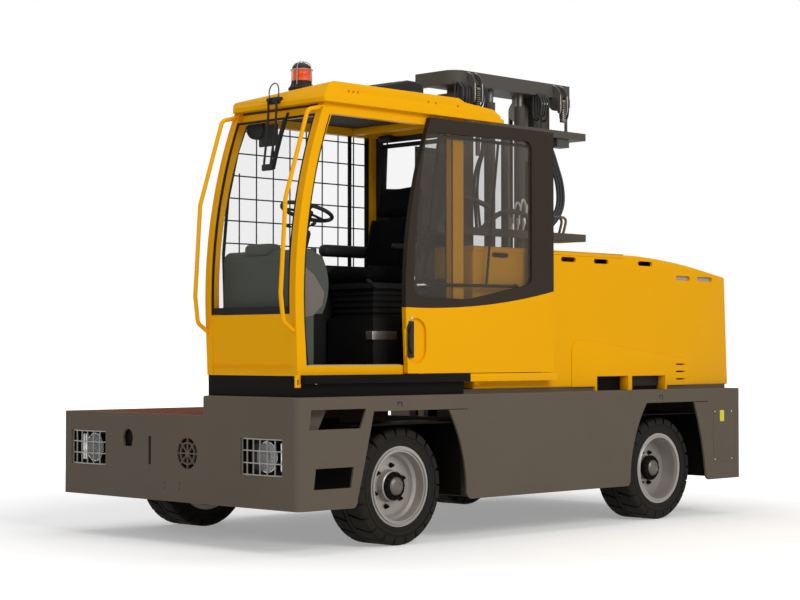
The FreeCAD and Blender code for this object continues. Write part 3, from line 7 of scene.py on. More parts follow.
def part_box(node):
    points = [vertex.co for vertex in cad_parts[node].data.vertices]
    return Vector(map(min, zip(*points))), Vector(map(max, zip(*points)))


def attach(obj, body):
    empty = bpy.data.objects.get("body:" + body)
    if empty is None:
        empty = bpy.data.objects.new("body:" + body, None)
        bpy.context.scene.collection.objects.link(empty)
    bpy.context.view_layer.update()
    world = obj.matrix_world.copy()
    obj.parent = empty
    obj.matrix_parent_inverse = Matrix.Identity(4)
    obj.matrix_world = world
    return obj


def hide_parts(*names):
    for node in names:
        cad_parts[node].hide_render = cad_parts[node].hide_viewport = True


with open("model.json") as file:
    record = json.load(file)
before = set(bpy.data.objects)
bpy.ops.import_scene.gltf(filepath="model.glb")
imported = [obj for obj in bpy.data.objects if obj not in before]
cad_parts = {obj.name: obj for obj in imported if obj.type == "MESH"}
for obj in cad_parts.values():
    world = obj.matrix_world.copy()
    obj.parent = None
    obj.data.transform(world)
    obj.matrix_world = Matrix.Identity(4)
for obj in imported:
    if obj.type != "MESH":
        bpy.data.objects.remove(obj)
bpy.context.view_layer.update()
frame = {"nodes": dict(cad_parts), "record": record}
nodes = frame["nodes"]

forward = (1, 0, 0)
left = (0, 1, 0)
up = (0, 0, 1)


# ---- modelling helpers
def nothing_selected():
    if bpy.context.object and bpy.context.object.mode != "OBJECT":
        bpy.ops.object.mode_set(mode="OBJECT")
    bpy.ops.object.select_all(action="DESELECT")


def only(piece):
    nothing_selected()
    piece.select_set(True)
    bpy.context.view_layer.objects.active = piece


def apply_modifiers(piece):
    only(piece)
    for modifier in list(piece.modifiers):
        bpy.ops.object.modifier_apply(modifier=modifier.name)


def freeze(piece):
    """Puts the piece's place into its mesh."""
    only(piece)
    bpy.ops.object.transform_apply(location=True, rotation=True, scale=True)


def soften(piece, width, segments=2, angle=30.0):
    modifier = piece.modifiers.new("Round", "BEVEL")
    modifier.width = width
    modifier.segments = segments
    modifier.limit_method = "ANGLE"
    modifier.angle_limit = math.radians(angle)
    apply_modifiers(piece)


def smooth(piece, angle=35.0):
    only(piece)
    bpy.ops.object.shade_smooth_by_angle(angle=math.radians(angle))


def dressed(pieces, name, material, body="chassis", angle=35.0):
    """Makes one named piece with its finish, which rides on a body."""
    piece = joined(pieces) if isinstance(pieces, list) else pieces
    piece.name = name
    piece.data.name = name
    piece.data.materials.clear()
    piece.data.materials.append(material)
    smooth(piece, angle)
    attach(piece, body)
    return piece


def primitive(operator, **values):
    """New mesh piece, with its place put into the mesh."""
    nothing_selected()
    operator(**values)
    piece = bpy.context.object
    freeze(piece)
    return piece


def block(low, high, rounding=0.004, segments=2):
    """Rounded bar or plate between two corners."""
    low = Vector(low)
    high = Vector(high)
    piece = primitive(bpy.ops.mesh.primitive_cube_add, size=1.0, location=(low + high) / 2, scale=high - low)
    if rounding:
        soften(piece, rounding, segments)
    return piece


def turning(axis):
    return Vector(up).rotation_difference(Vector(axis)).to_euler()


def disc(centre, axis, radius, depth, rounding=0.002, sides=32):
    """Short round bar whose middle lies at the centre."""
    piece = primitive(bpy.ops.mesh.primitive_cylinder_add, vertices=sides, radius=radius, depth=depth,
                      location=centre, rotation=turning(axis))
    if rounding:
        soften(piece, rounding, 2, 50.0)
    return piece


def ball(centre, radius):
    return primitive(bpy.ops.mesh.primitive_uv_sphere_add, segments=24, ring_count=12, radius=radius,
                     location=centre)


def hoop(centre, axis, radius, thickness, sides=48, section=12):
    return primitive(bpy.ops.mesh.primitive_torus_add, major_segments=sides, minor_segments=section,
                     major_radius=radius, minor_radius=thickness, location=centre, rotation=turning(axis))


def tube(points, radius, resolution=8, kind="NURBS"):
    """Round tube along a smooth curve, made a mesh."""
    curve = bpy.data.curves.new("Tube", "CURVE")
    curve.dimensions = "3D"
    curve.bevel_depth = radius
    curve.bevel_resolution = 4
    curve.resolution_u = resolution
    curve.use_fill_caps = True
    spline = curve.splines.new(kind)
    spline.points.add(len(points) - 1)
    for spot, point in zip(spline.points, points):
        spot.co = (point[0], point[1], point[2], 1.0)
    if kind == "NURBS":
        spline.order_u = 3
        spline.use_endpoint_u = True
    piece = bpy.data.objects.new("Tube", curve)
    bpy.context.collection.objects.link(piece)
    only(piece)
    bpy.ops.object.convert(target="MESH")
    return bpy.context.object


def outline_piece(points, fill="NGON"):
    """Flat start of a piece: a ring with the given corner points."""
    piece = primitive(bpy.ops.mesh.primitive_circle_add, vertices=len(points), radius=1.0, fill_type=fill)
    for vertex, point in zip(piece.data.vertices, points):
        vertex.co = point
    return piece


def drawn_out(piece, operator, merge=True, **values):
    """Extrudes or spins the whole piece, closes its seam and turns its faces outwards."""
    bpy.ops.object.mode_set(mode="EDIT")
    bpy.ops.mesh.select_all(action="SELECT")
    operator(**values)
    bpy.ops.mesh.select_all(action="SELECT")
    if merge:
        bpy.ops.mesh.remove_doubles(threshold=0.00005)
    bpy.ops.mesh.normals_make_consistent(inside=False)
    bpy.ops.object.mode_set(mode="OBJECT")
    return piece


def profile_turned(profile, centre, axis, steps=64):
    """Ring spun round an axis from (distance along the axis, radius) points; closed on itself."""
    piece = outline_piece([(0.0, radius, along) for along, radius in profile], "NOTHING")
    drawn_out(piece, bpy.ops.mesh.spin, steps=steps, angle=math.tau, center=(0, 0, 0), axis=up)
    piece.data.transform(turning(axis).to_matrix().to_4x4())
    piece.data.transform(Matrix.Translation(Vector(centre)))
    return piece


def sheet_from(points, thickness):
    """Flat plate with the given outline, thickened towards the cab's side."""
    return drawn_out(outline_piece(points), bpy.ops.mesh.extrude_region_move, merge=False,
                     TRANSFORM_OT_translate={"value": (0.0, thickness, 0.0)})


def copied(piece, matrix):
    twin = piece.copy()
    twin.data = piece.data.copy()
    bpy.context.collection.objects.link(twin)
    twin.data.transform(matrix)
    if matrix.determinant() < 0:
        twin.data.flip_normals()
    return twin


def round_copies(piece, count, centre, first=0.0):
    """The piece repeated round a wheel's axis; the copies have their own meshes."""
    centre = Vector(centre)
    made = []
    for i in range(count):
        turn = Matrix.Rotation(first + math.tau * i / count, 4, "Y")
        made.append(copied(piece, Matrix.Translation(centre) @ turn @ Matrix.Translation(-centre)))
    bpy.data.objects.remove(piece)
    return made


def joined(pieces):
    nothing_selected()
    for piece in pieces:
        piece.select_set(True)
    bpy.context.view_layer.objects.active = pieces[0]
    if len(pieces) > 1:
        bpy.ops.object.join()
    return bpy.context.object


def moved(piece, offset):
    piece.data.transform(Matrix.Translation(Vector(offset)))
    return piece


def cut_away(piece, cutters):
    """Takes the cutters out of a piece and deletes them."""
    for cutter in cutters:
        cut = piece.modifiers.new("Cut", "BOOLEAN")
        cut.object = cutter
        cut.solver = "EXACT"
    apply_modifiers(piece)
    for cutter in cutters:
        bpy.data.objects.remove(cutter)
    return piece


# ---- finishes
def put(tree, socket, value):
    """Links another node's output to a socket, or gives it a plain value."""
    if isinstance(value, bpy.types.NodeSocket):
        tree.links.new(value, socket)
    else:
        socket.default_value = value


def feed(tree, node, **values):
    for label, value in values.items():
        put(tree, node.inputs[label.replace("_", " ")], value)
    return node


def added(tree, kind, **values):
    return feed(tree, tree.nodes.new("ShaderNode" + kind), **values)


def math_node(tree, operation, *values):
    node = added(tree, "Math")
    node.operation = operation
    for socket, value in zip(node.inputs, values):
        put(tree, socket, value)
    return node.outputs[0]


def noise(tree, vector, scale, detail=4.0, roughness=0.55):
    return added(tree, "TexNoise", Vector=vector, Scale=scale, Detail=detail,
                 Roughness=roughness).outputs["Fac"]


def object_place(tree):
    return added(tree, "TexCoord").outputs["Object"]


def bumped(tree, shader, height, strength, distance):
    """Lets a height raise the surface."""
    bump = added(tree, "Bump", Height=height, Strength=strength, Distance=distance)
    feed(tree, shader, Normal=bump.outputs["Normal"])


def ramp(tree, value, low, high):
    return added(tree, "MapRange", Value=value, From_Min=low, From_Max=high).outputs["Result"]


def mix(tree, factor, a, b):
    node = added(tree, "Mix")
    node.data_type = "RGBA"
    return feed(tree, node, Factor=factor, A=a, B=b).outputs["Result"]


def wave(tree, vector, direction, scale, distortion=0.0):
    node = added(tree, "TexWave", Vector=vector, Scale=scale, Distortion=distortion)
    node.bands_direction = direction
    return node.outputs["Fac"]


def group_of(name, inputs, outputs):
    """Node group with named inputs and their values, and named outputs with their kinds."""
    tree = bpy.data.node_groups.new(name, "ShaderNodeTree")
    for label, value in inputs.items():
        kind = "NodeSocketFloat" if isinstance(value, float) else "NodeSocketColor"
        tree.interface.new_socket(label, in_out="INPUT", socket_type=kind).default_value = value
    for label, kind in outputs.items():
        tree.interface.new_socket(label, in_out="OUTPUT", socket_type="NodeSocket" + kind)
    return tree, tree.nodes.new("NodeGroupInput").outputs, tree.nodes.new("NodeGroupOutput")


def make_weathering():
    """Colour drift over large panels, light dust on what faces up and grime low down."""
    tree, given, outlet = group_of(
        "Weathering",
        {"Colour": (0.5, 0.5, 0.5, 1), "Dust": (0.3, 0.27, 0.23, 1), "Drift": 0.12, "Dust Amount": 0.15,
         "Base Roughness": 0.4, "Grime Height": 0.9},
        {"Colour": "Color", "Roughness": "Float"})
    coordinates = object_place(tree)
    wide = noise(tree, coordinates, 1.7, 3.0)
    swing = math_node(tree, "MULTIPLY", math_node(tree, "SUBTRACT", wide, 0.5), given["Drift"])
    shade = added(tree, "HueSaturation", Value=math_node(tree, "ADD", swing, 1.0), Color=given["Colour"])
    facing = added(tree, "SeparateXYZ", Vector=added(tree, "NewGeometry").outputs["Normal"])
    place = added(tree, "SeparateXYZ", Vector=coordinates)
    low = ramp(tree, math_node(tree, "DIVIDE", place.outputs["Z"], given["Grime Height"]), 1.0, 0.2)
    upward = ramp(tree, facing.outputs["Z"], 0.3, 1.0)
    cover = math_node(tree, "ADD", upward, math_node(tree, "MULTIPLY", low, 0.6))
    patch = ramp(tree, noise(tree, coordinates, 6.0, 6.0, 0.65), 0.3, 0.8)
    cover = math_node(tree, "MULTIPLY", math_node(tree, "MULTIPLY", cover, patch), given["Dust Amount"])
    fine = math_node(tree, "SUBTRACT", noise(tree, coordinates, 42.0, 5.0), 0.5)
    rough = math_node(tree, "ADD", math_node(tree, "MULTIPLY", fine, 0.12), given["Base Roughness"])
    rough = math_node(tree, "ADD", rough, math_node(tree, "MULTIPLY", cover, 0.5))
    feed(tree, outlet, Colour=mix(tree, cover, shade.outputs["Color"], given["Dust"]), Roughness=rough)
    return tree


def make_grain():
    """Fine moulded or sprayed texture as a height, at a chosen size."""
    tree, given, outlet = group_of("Grain", {"Size": 400.0}, {"Height": "Float"})
    coordinates = object_place(tree)
    cells = added(tree, "TexVoronoi", Vector=coordinates, Scale=given["Size"])
    speck = noise(tree, coordinates, given["Size"], 2.0)
    feed(tree, outlet, Height=math_node(tree, "ADD", cells.outputs["Distance"], speck))
    return tree


weathering = make_weathering()
grain = make_grain()


def principled(name):
    material = bpy.data.materials.new(name)
    material.use_nodes = True
    return material, material.node_tree, material.node_tree.nodes["Principled BSDF"]


def group_node(tree, group, **values):
    node = added(tree, "Group")
    node.node_tree = group
    return feed(tree, node, **values)


def rgba(colour):
    return (colour[0], colour[1], colour[2], 1.0)


def paint(name, colour, roughness=0.4, drift=0.12, dust=0.12, dust_colour=(0.32, 0.28, 0.23), bump=0.15,
          grain_size=900.0, metallic=0.0, grime_height=0.9, sheen=0.25):
    """Sprayed or moulded finish with colour drift, dust and a fine skin."""
    material, tree, shader = principled(name)
    worn = group_node(tree, weathering, Colour=rgba(colour), Dust=rgba(dust_colour), Drift=drift,
                      Dust_Amount=dust, Base_Roughness=roughness, Grime_Height=grime_height).outputs
    skin = group_node(tree, grain, Size=grain_size)
    feed(tree, shader, Base_Color=worn["Colour"], Roughness=worn["Roughness"], Metallic=metallic,
         Specular_IOR_Level=sheen)
    bumped(tree, shader, skin.outputs["Height"], bump, 0.0004)
    return material


chassis_paint = paint("Chassis paint", (0.122, 0.099, 0.076), 0.6, drift=0.16, dust=0.06, sheen=0.08)
mast_paint = paint("Mast paint", (0.088, 0.079, 0.069), 0.54, drift=0.14, dust=0.05, sheen=0.1)
yellow_paint = paint("Yellow paint", (0.88, 0.415, 0.002), 0.4, drift=0.05, dust=0.02,
                     dust_colour=(0.5, 0.35, 0.08), sheen=0.05)
black_steel = paint("Black steel", (0.006, 0.0052, 0.0045), 0.6, drift=0.3, dust=0.03,
                    dust_colour=(0.04, 0.03, 0.02), sheen=0.05)
frame_black = paint("Door frame black", (0.031, 0.0225, 0.016), 0.5, drift=0.16, dust=0.02,
                    dust_colour=(0.12, 0.1, 0.09), sheen=0.08)
black_plastic = paint("Black plastic", (0.01, 0.009, 0.009), 0.58, bump=0.4, grain_size=500.0, dust=0.04,
                      sheen=0.2)
grey_plastic = paint("Grey plastic", (0.06, 0.066, 0.056), 0.62, bump=0.5, grain_size=450.0, dust=0.03,
                     sheen=0.2)
light_grey_plastic = paint("Light grey plastic", (0.15, 0.128, 0.112), 0.6, bump=0.5, grain_size=450.0,
                           dust=0.03, sheen=0.25)
rubber = paint("Tyre rubber", (0.014, 0.012, 0.01), 0.74, drift=0.35, dust=0.16,
               dust_colour=(0.06, 0.05, 0.04), bump=0.5, grain_size=260.0, grime_height=0.8, sheen=0.15)
gasket_rubber = paint("Gasket rubber", (0.008, 0.008, 0.008), 0.7, bump=0.2, grain_size=300.0, dust=0.03,
                      sheen=0.15)
rim_silver = paint("Rim silver", (0.36, 0.335, 0.31), 0.36, drift=0.2, dust=0.14,
                   dust_colour=(0.16, 0.14, 0.12), metallic=0.35, grime_height=0.8, sheen=0.4)
chrome = paint("Hard chrome", (0.55, 0.55, 0.54), 0.16, drift=0.05, dust=0.03, bump=0.02, metallic=1.0)
oiled_steel = paint("Oiled steel", (0.13, 0.12, 0.105), 0.38, drift=0.3, dust=0.1, bump=0.3, metallic=0.8)
fork_steel = paint("Fork steel", (0.022, 0.02, 0.019), 0.5, drift=0.3, dust=0.12, metallic=0.2)
bright_bolt = paint("Zinc bolts", (0.5, 0.48, 0.44), 0.35, drift=0.1, dust=0.05, metallic=0.9)
hose_rubber = paint("Hose rubber", (0.011, 0.011, 0.011), 0.45, drift=0.2, dust=0.05, bump=0.25,
                    grain_size=700.0, sheen=0.35)
bronze_pipe = paint("Hydraulic pipe", (0.17, 0.13, 0.085), 0.34, drift=0.2, dust=0.05, metallic=0.8)
battery_grey = paint("Battery tray", (0.02, 0.018, 0.016), 0.6, sheen=0.15)
# Pale plate colour: painted light seen through the hood's two rear hand slots.
painted_slot_light = paint("Battery casing", (0.42, 0.41, 0.39), 0.5, dust=0.1, sheen=0.2)
roof_lining = paint("Roof lining", (0.05, 0.045, 0.038), 0.8, bump=0.4, grain_size=300.0, dust=0.0,
                    sheen=0.15)
tag_yellow = paint("Tag yellow", (0.75, 0.66, 0.03), 0.4, dust=0.05)
grip_grey = paint("Grip strip", (0.42, 0.4, 0.36), 0.6, drift=0.3, dust=0.2, metallic=0.3)
guard_wire = paint("Guard wire", (0.3, 0.28, 0.25), 0.42, drift=0.2, dust=0.1, metallic=0.5)


def glass(name, tint, roughness, alpha):
    material, tree, shader = principled(name)
    haze = group_node(tree, weathering, Colour=rgba(tint), Dust=rgba((0.6, 0.6, 0.58)), Drift=0.05,
                      Dust_Amount=0.06, Grime_Height=0.5)
    feed(tree, shader, Base_Color=haze.outputs["Colour"], Roughness=roughness, Alpha=alpha, IOR=1.45,
         Specular_IOR_Level=0.35)
    material.surface_render_method = "DITHERED"
    return material


clear_glass = glass("Clear glass", (0.1, 0.12, 0.11), 0.04, 0.045)
tinted_glass = glass("Tinted glass", (0.105, 0.088, 0.07), 0.04, 0.27)
lamp_glass = glass("Lamp glass", (0.85, 0.88, 0.9), 0.05, 0.25)


def lens(name, colour, glow):
    material, tree, shader = principled(name)
    bands = wave(tree, object_place(tree), "Z", 60.0)
    tone = mix(tree, bands, rgba([c * 0.75 for c in colour]), rgba(colour))
    feed(tree, shader, Base_Color=tone, Roughness=0.15, Coat_Weight=0.6, Emission_Color=rgba(colour),
         Emission_Strength=glow)
    return material


amber_lens = lens("Amber lens", (0.8, 0.085, 0.006), 0.12)


def cloth_finish(name, colour):
    """Woven seat cover: two crossing waves, with painted shade in the weave's pits."""
    material, tree, shader = principled(name)
    coordinates = object_place(tree)
    weave = math_node(tree, "MULTIPLY", *[wave(tree, coordinates, way, 130.0, 0.6) for way in ("X", "Z")])
    worn = group_node(tree, weathering, Colour=rgba(colour), Dust=rgba((0.12, 0.11, 0.1)), Drift=0.3,
                      Dust_Amount=0.1, Base_Roughness=0.85, Grime_Height=0.3).outputs
    # Colour darkened where the weave is low: painted shade in the pits.
    tone = mix(tree, weave, rgba([c * 0.5 for c in colour]), worn["Colour"])
    feed(tree, shader, Base_Color=tone, Roughness=worn["Roughness"], Specular_IOR_Level=0.04)
    bumped(tree, shader, weave, 0.5, 0.0012)
    return material


seat_cloth = cloth_finish("Seat cloth", (0.0048, 0.0044, 0.0044))


def boards_finish():
    """Phenolic coated boards: red-brown, long streaks along the board, scuffs."""
    material, tree, shader = principled("Deck boards")
    coordinates = object_place(tree)
    stretch = added(tree, "Mapping", Scale=(0.6, 9.0, 9.0), Vector=coordinates)
    streak = ramp(tree, noise(tree, stretch.outputs["Vector"], 3.0, 8.0, 0.7), 0.3, 0.7)
    base = mix(tree, streak, rgba((0.13, 0.04, 0.022)), rgba((0.21, 0.075, 0.04)))
    scuff = ramp(tree, noise(tree, coordinates, 3.2, 8.0, 0.75), 0.56, 0.72)
    worn = mix(tree, math_node(tree, "MULTIPLY", scuff, 0.5), base, rgba((0.27, 0.17, 0.12)))
    rough = math_node(tree, "ADD", math_node(tree, "MULTIPLY", streak, 0.2), 0.78)
    feed(tree, shader, Base_Color=worn, Roughness=rough, Specular_IOR_Level=0.03)
    bumped(tree, shader, streak, 0.4, 0.001)
    return material


deck_boards = boards_finish()

slot_finish = {
    "frame_paint": chassis_paint, "mast_paint": mast_paint, "yellow_paint": yellow_paint,
    "black_steel": black_steel, "deck_boards": deck_boards, "black_plastic": black_plastic,
    "grey_plastic": grey_plastic, "clear_glass": clear_glass, "tinted_glass": tinted_glass,
    "amber_lens": amber_lens, "seat_cloth": seat_cloth, "lamp_body": black_plastic,
    "battery_case": battery_grey, "chrome_rod": chrome, "chain_steel": oiled_steel,
    "fork_steel": fork_steel, "tyre_rubber": rubber, "rim_silver": rim_silver,
}
own_finish = {"door_frame": frame_black, "lamp_guards": guard_wire, "lift_rods": oiled_steel}
for row in frame["record"]["subparts"]:
    node = nodes[row["node"]]
    node.data.materials.clear()
    node.data.materials.append(own_finish.get(row["node"], slot_finish[row["material_slot"]]))


# ---- places read from the frame
def corner(name):
    low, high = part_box(name)
    return Vector(low), Vector(high)


def middle_of(name):
    low, high = corner(name)
    return (low + high) / 2


body_high = corner("main_frame")[1]
nose_x = body_high.x
side_y = body_high.y


def behind(setback):
    return nose_x - setback


# ---- wheels
def wheel_side(name):
    return 1.0 if name.endswith("l") else -1.0


def wheel_centre(name):
    return middle_of("tyre_" + name)


lug_count = 22
lug_start = 0.026
lug_lean = 0.75


def tread_lug(side, half, outer):
    """One shoulder block of a tyre, swept over its share of the circle and slanted."""
    section = [(lug_start, outer - 0.022), (lug_start, outer - 0.002), (0.034, outer), (half - 0.024, outer),
               (half - 0.006, outer - 0.014), (half + 0.001, outer - 0.034), (half + 0.001, outer - 0.06),
               (half - 0.012, outer - 0.06), (half - 0.03, outer - 0.022)]
    piece = outline_piece([(0.0, along * side, radius) for along, radius in section])
    drawn_out(piece, bpy.ops.mesh.spin, steps=4, angle=math.radians(13.6), center=(0, 0, 0), axis=left)
    for vertex in piece.data.vertices:
        lean = (abs(vertex.co.y) - lug_start) * lug_lean * side
        vertex.co = Matrix.Rotation(lean, 3, "Y") @ vertex.co
    return piece


def tyre_for(name):
    """Solid tyre: ribbed side walls, a centre band and staggered shoulder blocks with narrow gaps."""
    low, high = corner("tyre_" + name)
    outer = (high.z - low.z) / 2
    half = (high.y - low.y) / 2
    lip = 0.295
    groove = outer - 0.018
    wall = [(half - 0.022, 0.2625), (half - 0.022, lip), (half - 0.002, lip), (half, lip + 0.012),
            (half - 0.003, lip + 0.018), (half - 0.003, lip + 0.04), (half + 0.0015, lip + 0.046),
            (half + 0.0015, lip + 0.054), (half - 0.004, lip + 0.06), (half - 0.007, outer - 0.05),
            (half - 0.016, outer - 0.028), (half - 0.034, groove)]
    profile = [(-a, r) for a, r in wall] + [(-0.024, groove), (-0.018, outer - 0.002), (0.018, outer - 0.002),
                                            (0.024, groove)] + [(a, r) for a, r in reversed(wall)]
    pieces = [profile_turned(profile, (0, 0, 0), left, 88)]
    for side, stagger in ((-1.0, math.radians(8.2)), (1.0, 0.0)):
        pieces += round_copies(tread_lug(side, half, outer), lug_count, (0, 0, 0), stagger)
    tyre = moved(joined(pieces), wheel_centre(name))
    dressed(tyre, "Tyre_" + name, rubber, body="wheel_" + name, angle=28.0)
    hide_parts("tyre_" + name)


def hex_nut(centre, axis, across, height):
    """Nut with softened corners, given by its width over the flats."""
    return disc(centre, axis, across * 0.577, height, across * 0.05, 6)


def wheel_nuts(name, circle, count, out):
    """Studs with nuts and washers on the wheel's disc."""
    centre = wheel_centre(name)
    side = wheel_side(name)
    y = centre.y + side * out
    spot = Vector((centre.x + circle, y, centre.z))
    axis = (0, side, 0)
    washer = disc(spot + Vector((0, side * 0.003, 0)), axis, 0.019, 0.006, 0.001, 24)
    nut = hex_nut(spot + Vector((0, side * 0.014, 0)), axis, 0.026, 0.018)
    stud = disc(spot + Vector((0, side * 0.024, 0)), axis, 0.008, 0.022, 0.0015, 16)
    one = joined([washer, nut, stud])
    ring = joined(round_copies(one, count, centre, 0.35))
    dressed(ring, "Wheel_nuts_" + name, black_steel, body="wheel_" + name)


def hub_cap(name, out):
    """Dark hub flange with a bolt ring and a grey cap."""
    centre = wheel_centre(name)
    side = wheel_side(name)
    axis = (0, side, 0)
    base = centre.y + side * out
    flange = profile_turned([(0, 0.03), (0, 0.1035), (0.03, 0.1035), (0.036, 0.098), (0.036, 0.074),
                             (0.026, 0.07), (0.026, 0.03)],
                            (centre.x, base, centre.z), axis, 48)
    bolt_circle = 0.086
    bolt = hex_nut((centre.x + bolt_circle, base + side * 0.04, centre.z), axis, 0.014, 0.01)
    bolts = round_copies(bolt, 12, centre)
    dressed([flange] + bolts, "Hub_flange_" + name, black_steel, body="wheel_" + name)
    cap = profile_turned([(0.02, 0.0005), (0.02, 0.069), (0.052, 0.066), (0.06, 0.058), (0.066, 0.05),
                          (0.068, 0.03), (0.064, 0.026), (0.064, 0.0005)],
                         (centre.x, base, centre.z), axis, 48)
    dressed(cap, "Hub_cap_" + name, oiled_steel, body="wheel_" + name)


for label in ("fl", "fr", "rl", "rr"):
    tyre_for(label)
for label in ("fl", "fr"):
    wheel_nuts(label, circle=0.15, count=6, out=0.044)
    hub_cap(label, out=0.08)
for label in ("rl", "rr"):
    wheel_nuts(label, circle=0.135, count=8, out=0.014)
    hub_cap(label, out=0.056)


# ---- headlamps
def headlamp(label, y_middle, side):
    """Reflector bowl, bulb, clear cover and side lamps behind each grille."""
    z = middle_of("headlamps").z
    back = nose_x - 0.1
    turned = (
        ("Lamp_bowl_", chrome, 48, [(0.0, 0.004), (0.004, 0.035), (0.03, 0.085), (0.06, 0.103),
                                    (0.064, 0.103),
                                    (0.064, 0.108), (0.058, 0.108), (0.02, 0.088), (-0.006, 0.036),
                                    (-0.006, 0.004)]),
        ("Lamp_bulb_", lamp_glow, 24, [(0.002, 0.001), (0.002, 0.014), (0.036, 0.014), (0.044, 0.008),
                                       (0.046, 0.001)]),
        ("Lamp_lens_", lamp_glass, 48, [(0.064, 0.001), (0.064, 0.104), (0.067, 0.104), (0.074, 0.06),
                                        (0.076, 0.001)]))
    for name, finish, steps, profile in turned:
        dressed(profile_turned(profile, (back, y_middle, z), forward, steps), name + label, finish)
    strips = []
    for i in range(3):
        y = y_middle - side * (0.135 + i * 0.027)
        strips.append(block((back + 0.02, y - 0.01, z - 0.1), (back + 0.052, y + 0.01, z + 0.1), 0.004))
    dressed(strips, "Side_lamps_" + label, reflector)


lamp_glow = lens("Lamp glow", (1.0, 0.97, 0.9), 1.6)
reflector = paint("Reflector", (0.75, 0.76, 0.78), 0.18, drift=0.4, bump=0.6, grain_size=120.0, dust=0.0,
                  metallic=0.8)
headlamp("right", -1.015, 1.0)
headlamp("left", 0.985, -1.0)


def screws(places, radius, depth, name):
    """Round zinc heads that face the cab's side."""
    heads = [disc(spot, left, radius, depth, radius * 0.25, 18) for spot in places]
    dressed(heads, name, bright_bolt)


def access_panel():
    """Cover plate behind the rear wheel with four screws and a small bare tag."""
    x0 = behind(5.062)
    x1 = behind(4.783)
    plate = block((x0, side_y - 0.002, 0.457), (x1, side_y + 0.0025, 0.905), 0.0015)
    dressed(plate, "Access_panel", chassis_paint)
    spots = [(x, side_y + 0.004, z) for x in (x0 + 0.018, x1 - 0.018) for z in (0.477, 0.885)]
    screws(spots, 0.007, 0.004, "Access_panel_screws")
    tag = block((behind(4.935), side_y + 0.002, 0.8), (behind(4.875), side_y + 0.0045, 0.895), 0.001)
    dressed(tag, "Panel_tag", tag_yellow)


access_panel()


def lifting_marks():
    """Small hook-shaped marks above both arches."""
    marks = []
    strokes = ((-0.03, 1.002, -0.022, 1.03), (-0.03, 1.031, 0.01, 1.038), (0.01, 1.012, 0.018, 1.038))
    for x in (behind(0.967), behind(4.04)):
        marks += [block((x + a, side_y - 0.001, low), (x + b, side_y + 0.001, top), 0.0)
                  for a, low, b, top in strokes]
    dressed(marks, "Lifting_marks", black_plastic)


lifting_marks()


# ---- cab, outside
pillar_marks = [(0.02, 1.655), (0.065, 2.36), (0.288, 3.13)]


def circle_through(a, b, c):
    """Centre and radius of the circle through three points of a side view."""
    ax, az = a
    bx, bz = b
    cx, cz = c
    d = 2 * (ax * (bz - cz) + bx * (cz - az) + cx * (az - bz))
    a_square = ax * ax + az * az
    b_square = bx * bx + bz * bz
    c_square = cx * cx + cz * cz
    ux = (a_square * (bz - cz) + b_square * (cz - az) + c_square * (az - bz)) / d
    uz = (a_square * (cx - bx) + b_square * (ax - cx) + c_square * (bx - ax)) / d
    return ux, uz, math.hypot(ax - ux, az - uz)


def pillar_line(offset, low, high, count=18):
    """Points (x, z) on the windscreen's curve, moved rearwards by an offset."""
    spots = [(behind(setback) - offset, z) for setback, z in pillar_marks]
    ux, uz, radius = circle_through(*spots)
    ahead = 1.0 if spots[0][0] > ux else -1.0
    line = []
    for i in range(count + 1):
        z = low + (high - low) * i / count
        line.append((ux + ahead * math.sqrt(max(radius ** 2 - (z - uz) ** 2, 0.0)), z))
    return line


def curved_strip(outer, inner, low, high, ya, yb, count=18):
    """Strip that follows the windscreen between two offsets."""
    line = pillar_line(outer, low, high, count)
    back = pillar_line(inner, low, high, count)
    points = [(x, ya, z) for x, z in line] + [(x, ya, z) for x, z in reversed(back)]
    return sheet_from(points, yb - ya)


cab_low, cab_high = corner("cab_frame")
pillar_width = 0.06
glass_left = cab_high.y - pillar_width
glass_right = cab_low.y + pillar_width
roof_low, roof_high = corner("cab_roof")
waist = 1.655
head = 3.055


def windscreen_gasket():
    """Thin rubber frame on the curved windscreen."""
    pieces = [
        curved_strip(0.007, 0.013, waist + 0.004, head, glass_left - 0.023, glass_left - 0.001),
        curved_strip(0.007, 0.013, waist + 0.004, head, glass_right + 0.001, glass_right + 0.023),
        curved_strip(0.006, 0.014, waist + 0.004, waist + 0.052, glass_right + 0.001, glass_left - 0.001, 3),
        curved_strip(0.006, 0.014, head - 0.018, head, glass_right + 0.001, glass_left - 0.001, 3),
    ]
    dressed(pieces, "Windscreen_gasket", gasket_rubber)


windscreen_gasket()


def pillar_seals():
    """Rubber edging at the front and the rear of the doorway."""
    pieces = [
        curved_strip(0.078, 0.086, cab_low.z + 0.075, head - 0.01, cab_high.y - 0.004, cab_high.y + 0.003),
        block((cab_low.x + 0.118, cab_high.y - 0.004, cab_low.z + 0.07),
              (cab_low.x + 0.126, cab_high.y + 0.003, head), 0.001),
    ]
    dressed(pieces, "Doorway_seal", gasket_rubber)


pillar_seals()


